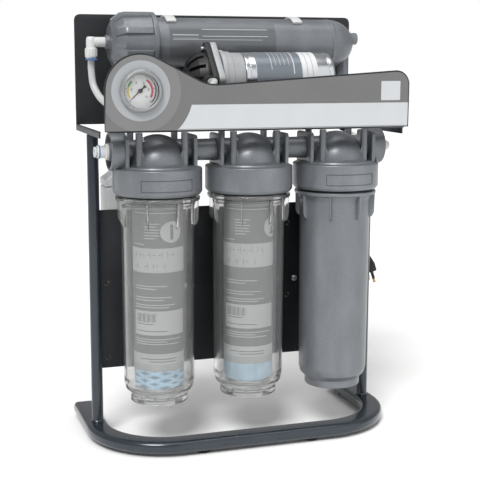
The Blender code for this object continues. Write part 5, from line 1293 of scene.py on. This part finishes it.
# pump, adaptor, motor and the cradle they lie in
pump = {"y": -0.022, "z": 0.4917, "portX": -0.060, "port": 0.0085, "frontZ": 0.4877, "frontY": -0.0720,
        "backZ": 0.4700, "backY": 0.028, "flange": (-0.0435, -0.0375),
        "adaptor": (-0.0372, -0.0063, 0.035), "motor": (-0.006, 0.122, 0.034), "bore": 0.020,
        "endBoss": 0.0085, "cradle": (0.064, 0.025, 0.030, 0.4266)}


def makePump(p):
    x, y, z = p["portX"], p["y"], p["z"]
    at = faceRight(0, y, z)
    body = turned("pumpHead", eased([(0, -0.0810), (0.0110, -0.0810, 0.002), (0.0225, -0.0775, 0.004),
                                     (0.0305, -0.0680, 0.004), (0.0335, -0.0575, 0.002),
                                     (0.0335, -0.0500), (0, -0.0500)]), at, 96)
    form = bmesh.new()
    for i in range(12):
        turn = Matrix.Rotation(2 * pi * i / 12, 4, "Z")
        addPlate(form, [(0.0150, -0.0850), (0.0400, -0.0850), (0.0400, -0.0600), (0.0285, -0.0600),
                        (0.0150, -0.0735)], -0.0026, 0.0026, at @ turn @ faceFront())
    cutBy(body, rawPiece("slots", form))
    cutBy(body, plated("headPlate", p["diamond"], -0.0550, -0.0474, at, 0.0006), "UNION")
    for face, long, deep, pz in ((faceFront, -p["frontY"], 0.020, p["frontZ"]),
                                 (faceBack, p["backY"], -0.005, p["backZ"])):
        cutBy(body, turned("port", eased([(0, long), (p["port"], long, 0.0008),
                                          (p["port"], long - 0.010, 0.0006),
                                          (p["port"] - 0.0012, long - 0.011),
                                          (p["port"] - 0.0012, deep), (0, deep)]), face(x, 0, pz), 48),
              "UNION")
        cutBy(body, turned("portBore", [(0, long + 0.01), (0.0051, long + 0.01), (0.0051, long - 0.012),
                                        (0, long - 0.012)], face(x, 0, pz), 32))
    dress(body, blackPlastic, replaces=["pump_head"], angle=30)
    form = bmesh.new()
    for i in range(4):
        a = radians(90 * i)
        addTurned(form, eased([(0, -0.0590), (0.0030, -0.0590, 0.0010), (0.0030, -0.0552), (0, -0.0552)]),
                  faceRight(0, y + 0.0385 * cos(a), z + 0.0385 * sin(a)), 24)
    dress(rawPiece("pumpScrews", form), zinc)


def makeMotor(p):
    at = faceRight(0, p["y"], p["z"])
    low, high = p["flange"]
    flange = plated("pumpFlange", p["diamond"], low - 0.0036, high - 0.0015, at, 0.0008)
    cutBy(flange, turned("flangeBore", [(0, low - 0.02), (0.0208, low - 0.02), (0.0208, high + 0.01),
                                        (0, high + 0.01)], at, 64))
    dress(flange, castMetal, replaces=["pump_flange"])
    low, high, r = p["adaptor"]
    adaptor = turned("motorAdaptor", eased([(p["bore"], low), (r + 0.0020, low, 0.0008),
                                            (r + 0.0020, low + 0.006, 0.0010),
                                            (r, low + 0.0068, 0.0004), (r, low + 0.0150, 0.001),
                                            (r - 0.0015, low + 0.0158, 0.001),
                                            (r - 0.0015, high, 0.0006), (p["bore"], high)], 3, True),
                     at, 96, closed=True)
    dress(adaptor, castMetal, replaces=["pump_adaptor"], angle=30)
    low, high, r = p["motor"]
    form = bmesh.new()
    can = eased([(p["bore"] * 0.5, low), (r - 0.0010, low, 0.0008), (r, low + 0.0012, 0.0008),
                 (r, low + 0.0052, 0.0002), (r - 0.0005, low + 0.0055), (r - 0.0005, low + 0.0068),
                 (r, low + 0.0071, 0.0002), (r, high - 0.0110, 0.0002), (r - 0.0006, high - 0.0107),
                 (r - 0.0006, high - 0.0092), (r, high - 0.0089, 0.0002), (r, high - 0.0030, 0.0025),
                 (r - 0.0035, high, 0.0015), (p["endBoss"] + 0.001, high, 0.0010),
                 (p["endBoss"], high - 0.0004), (p["bore"] * 0.5, high - 0.0004)], 3, True)
    addTurned(form, can, at, 96, closed=True)
    addTurned(form, eased([(0.0067, high - gap), (p["endBoss"], high - gap),
                           (p["endBoss"], high + 0.003, 0.0006), (0.0067, high + 0.003)], 3, True), at,
              48, closed=True)
    dress(rawPiece("pumpMotor", form), chrome, replaces=["pump_motor"], angle=30)


def makeMotorSkins(p):
    # wrap label and end band on the motor's can, and the cradle that holds it
    at, r = faceRight(0, p["y"], p["z"]), p["motor"][2]
    for name, low, high, finish in (("motorLabel", 0.0090, 0.0730, motorWrap),
                                    ("motorBand", 0.0734, 0.0960, wrapWhite)):
        dress(turned(name, [(r + 0.00004, low), (r + 0.00028, low), (r + 0.00028, high),
                            (r + 0.00004, high)], at, 96, closed=True), finish,
              angle=40)
    form = bmesh.new()
    for k, (wide, start, end) in enumerate(((0.0006, 20, 150), (0.0004, 30, 120), (0.0004, 30, 135),
                                            (0.0004, 30, 110), (0.0004, 30, 128), (0.0012, 10, 170))):
        addRound(form, p["y"], p["z"], r + 0.00028, start, end, 0.0300 + 0.0062 * k,
                 0.0300 + 0.0062 * k + wide)
    dress(rawPiece("motorLabelLines", form), wrapWhite, angle=40)
    form = bmesh.new()
    for low in (0.0802, 0.0880):
        addRound(form, p["y"], p["z"], r + 0.00028, 5, 175, low, low + 0.0006)
    dress(rawPiece("motorBandLines", form), wrapGrey, angle=40)


def makeCradle(p):
    x, half, side, low = p["cradle"]
    y, z, hug = p["y"], p["z"], p["motor"][2] + 0.0006
    arc = [(y + hug * cos(radians(a)), z + hug * sin(radians(a))) for a in range(-35, -146, -5)]
    cradle = plated("pumpCradle", [(y - side, low + 0.0006), (y + side, low + 0.0006)] + arc, x - half,
                    x + half, alongX(), 0.0006)
    for k in range(3):
        cutBy(cradle, blocked("pocket", (x - half + 0.006 + 0.0135 * k, y - side - 0.01, low + 0.004),
                              (x - half + 0.0165 + 0.0135 * k, y - side + 0.0045, z - 0.026), 0.001))
    dress(cradle, blackPlastic, replaces=["pump_cradle"], angle=30)


pump["diamond"] = eased([(0.0500, 0, 0.008), (0, 0.0500, 0.008), (-0.0500, 0, 0.008),
                         (0, -0.0500, 0.008)], 6, True)
makePump(pump)
makeMotor(pump)
makeMotorSkins(pump)
makeCradle(pump)
for name, finish in (("membrane_seal", rubber), ("membrane_element", paperWrap), ("pump_rotor", zinc)):
    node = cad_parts[name]
    node.data.materials.clear()
    node.data.materials.append(finish)
print("pump made")

# hoses
hose = {"radius": 0.00475, "feed": [(-0.1915, 0.051, 0.5254), (-0.1915, 0.051, 0.5132),
                                    (-0.1915, 0.051, 0.5002), (-0.1890, 0.045, 0.478),
                                    (-0.178, 0.022, 0.458), (-0.152, -0.018, 0.446),
                                    (-0.120, -0.060, 0.448), (-0.092, -0.0860, 0.461),
                                    (-0.0715, -0.0950, 0.478), (-0.060, -0.0860, 0.4877),
                                    (-0.060, -0.0723, 0.4877)],
        "suction": [(0.1976, -0.0336, 0.3991), (0.1976, -0.0276, 0.3991), (0.1976, -0.0206, 0.3991), (0.1940, -0.007, 0.4001),
                    (0.176, 0.009, 0.4091), (0.165, 0.012, 0.4183), (0.165, 0.012, 0.4343), (0.158, 0.018, 0.450),
                    (0.135, 0.034, 0.461), (0.095, 0.046, 0.468), (0.040, 0.054, 0.470), (-0.010, 0.058, 0.470),
                    (-0.042, 0.056, 0.470), (-0.060, 0.042, 0.470), (-0.060, 0.0283, 0.470)]}
for name in ("feed", "suction"):
    dress(makeCurve(name + "Hose", smoothRoute(hose[name], 0.004), hose["radius"], hosePlastic, 6), None,
          replaces=[name + "_hose"])
print("hoses made")

# power supply, its gland, the cord's peg and clip
supply = {"left": -0.180, "right": -0.108, "near": 0.0204, "far": 0.0644, "low": 0.248, "seam": 0.345,
          "top": 0.363, "chamfer": 0.012, "gland": (-0.108, 0.0424, 0.288), "glandReach": 0.020,
          "peg": (0.030, 0.0204, 0.2352), "clip": (0.168, 0.176, 0.0204, 0.0355, 0.275, 0.289)}


def makeSupply(s):
    left, right, near, far, seam, top = s["left"], s["right"], s["near"], s["far"], s["seam"], s["top"]
    box = blocked("supplyBox", (left, near, s["low"]), (right, far, seam - 0.0004), 0.0022, 4)
    for k in range(7):
        cutBy(box, blocked("vent", (left + 0.014 + 0.0065 * k, far - 0.0012, s["low"] + 0.022),
                           (left + 0.0170 + 0.0065 * k, far + 0.004, s["low"] + 0.062), 0.0006))
    x, y, z = s["gland"]
    cutBy(box, turned("glandHole", [(0, x + 0.01), (0.0062, x + 0.01), (0.0062, x - 0.012),
                                    (0, x - 0.012)], faceRight(0, y, z), 40))
    dress(box, boxPlastic, replaces=["power_supply"], angle=35)
    form = bmesh.new()
    lid = [(left, seam, 0.001), (right, seam, 0.001), (right, top, 0.0022),
           (left + s["chamfer"], top, 0.003), (left, top - s["chamfer"] * 0.7, 0.003)]
    addPlate(form, eased(lid, 4, True), -far, -near, faceFront(0, 0, 0), 0.0014, 3)
    dress(rawPiece("supplyLid", form), boxPlastic, replaces=["power_supply_lid"],
          angle=35)
    form = bmesh.new()
    reach = s["glandReach"]
    line = [(0.0031, x - 0.008), (0.0058, x - 0.008, 0.0004), (0.0058, x - 0.0002),
            (0.0078, x + gap, 0.0004), (0.0078, x + 0.0028, 0.0005)]
    for k in range(4):
        size, spot = 0.0070 - 0.00062 * k, x + 0.0036 + 0.0038 * k
        line += [(size - 0.0014, spot, 0.0003), (size - 0.0014, spot + 0.0010, 0.0003),
                 (size, spot + 0.0012, 0.0003), (size - 0.0002, spot + 0.0032, 0.0003)]
    line += [(0.0040, x + reach - 0.0006, 0.0003), (0.0031, x + reach - 0.0006)]
    addTurned(form, eased(line, 2, True), faceRight(0, y, z), 40, closed=True)
    dress(rawPiece("cordGland", form), softBlack, replaces=["cord_gland"], angle=40)
    x, y, z = s["peg"]
    dress(turned("cordPeg", eased([(0, y + 0.0148), (0.0088, y + 0.0148, 0.001),
                                   (0.0088, y + 0.0128, 0.001), (0.0040, y + 0.0124, 0.0006),
                                   (0.0040, y + 0.0008, 0.0006), (0.0064, y + 0.0004), (0.0064, y),
                                   (0, y)]), faceBack(x, 0, z), 40), blackPlastic,
          replaces=["cord_peg"])
    x0, x1, y0, y1, z0, z1 = s["clip"]
    clip = blocked("cordClip", (x0, y0, z0), (x1, y1, z1), 0.0012)
    cutBy(clip, turned("clipHole", [(0, x1 + 0.01), (0.0046, x1 + 0.01), (0.0046, x0 - 0.01),
                                    (0, x0 - 0.01)], faceRight(0, 0.0300, 0.2820), 32))
    dress(clip, blackPlastic, replaces=["cord_clip"])


makeSupply(supply)
print("supply made")

# pale floor and soft studio light
studio = {"floor": 9.0, "paper": (0.95, 0.95, 0.945), "glow": 0.36, "seen": 1.0,
          "lamps": [("keyLamp", (-0.70, -1.05, 1.40), 24, 2.7), ("fillLamp", (0.9, -1.2, 0.5), 60, 0.55),
                    ("topLamp", (0.1, -0.1, 1.0), 40, 0.7)]}


def makeStudio(s):
    form = bmesh.new()
    half = s["floor"]
    form.faces.new([form.verts.new((x, y, -0.0004)) for x,
                    y in ((-half, -half), (half, -half), (half, half), (-half, half))])
    floor = rawPiece("floor", form)
    if floor.data.polygons[0].normal.z < 0:
        floor.data.flip_normals()
    floor.data.materials.append(paperWhite)
    sky = bpy.data.worlds.new("studio")
    sky.use_nodes = True
    tree = sky.node_tree
    path = addNode(tree, "ShaderNodeLightPath", -700, 0)
    either = addNode(tree, "ShaderNodeMath", -500, 0, operation="MAXIMUM")
    tree.links.new(path.outputs["Is Camera Ray"], either.inputs[0])
    tree.links.new(path.outputs["Is Transmission Ray"], either.inputs[1])
    strength = addNode(tree, "ShaderNodeMapRange", -300, 0)
    strength.inputs["To Min"].default_value, strength.inputs["To Max"].default_value = s["glow"], s["seen"]
    tree.links.new(either.outputs["Value"], strength.inputs["Value"])
    back = tree.nodes["Background"]
    back.inputs["Color"].default_value = (1, 1, 1, 1)
    tree.links.new(strength.outputs["Result"], back.inputs["Strength"])
    scene.world = sky
    for name, way, spread, power in s["lamps"]:
        data = bpy.data.lights.new(name, "SUN")
        data.angle, data.energy = radians(spread), power
        lamp = bpy.data.objects.new(name, data)
        lamp.location = way
        lamp.rotation_euler = (-Vector(way)).to_track_quat("-Z", "Y").to_euler()
        scene.collection.objects.link(lamp)


paperWhite = makeFinish("paperWhite", studio["paper"], 0.75, grain=(260, 0.02), cloud=(6, 0.01))
makeStudio(studio)
scene.view_settings.view_transform = "Standard"
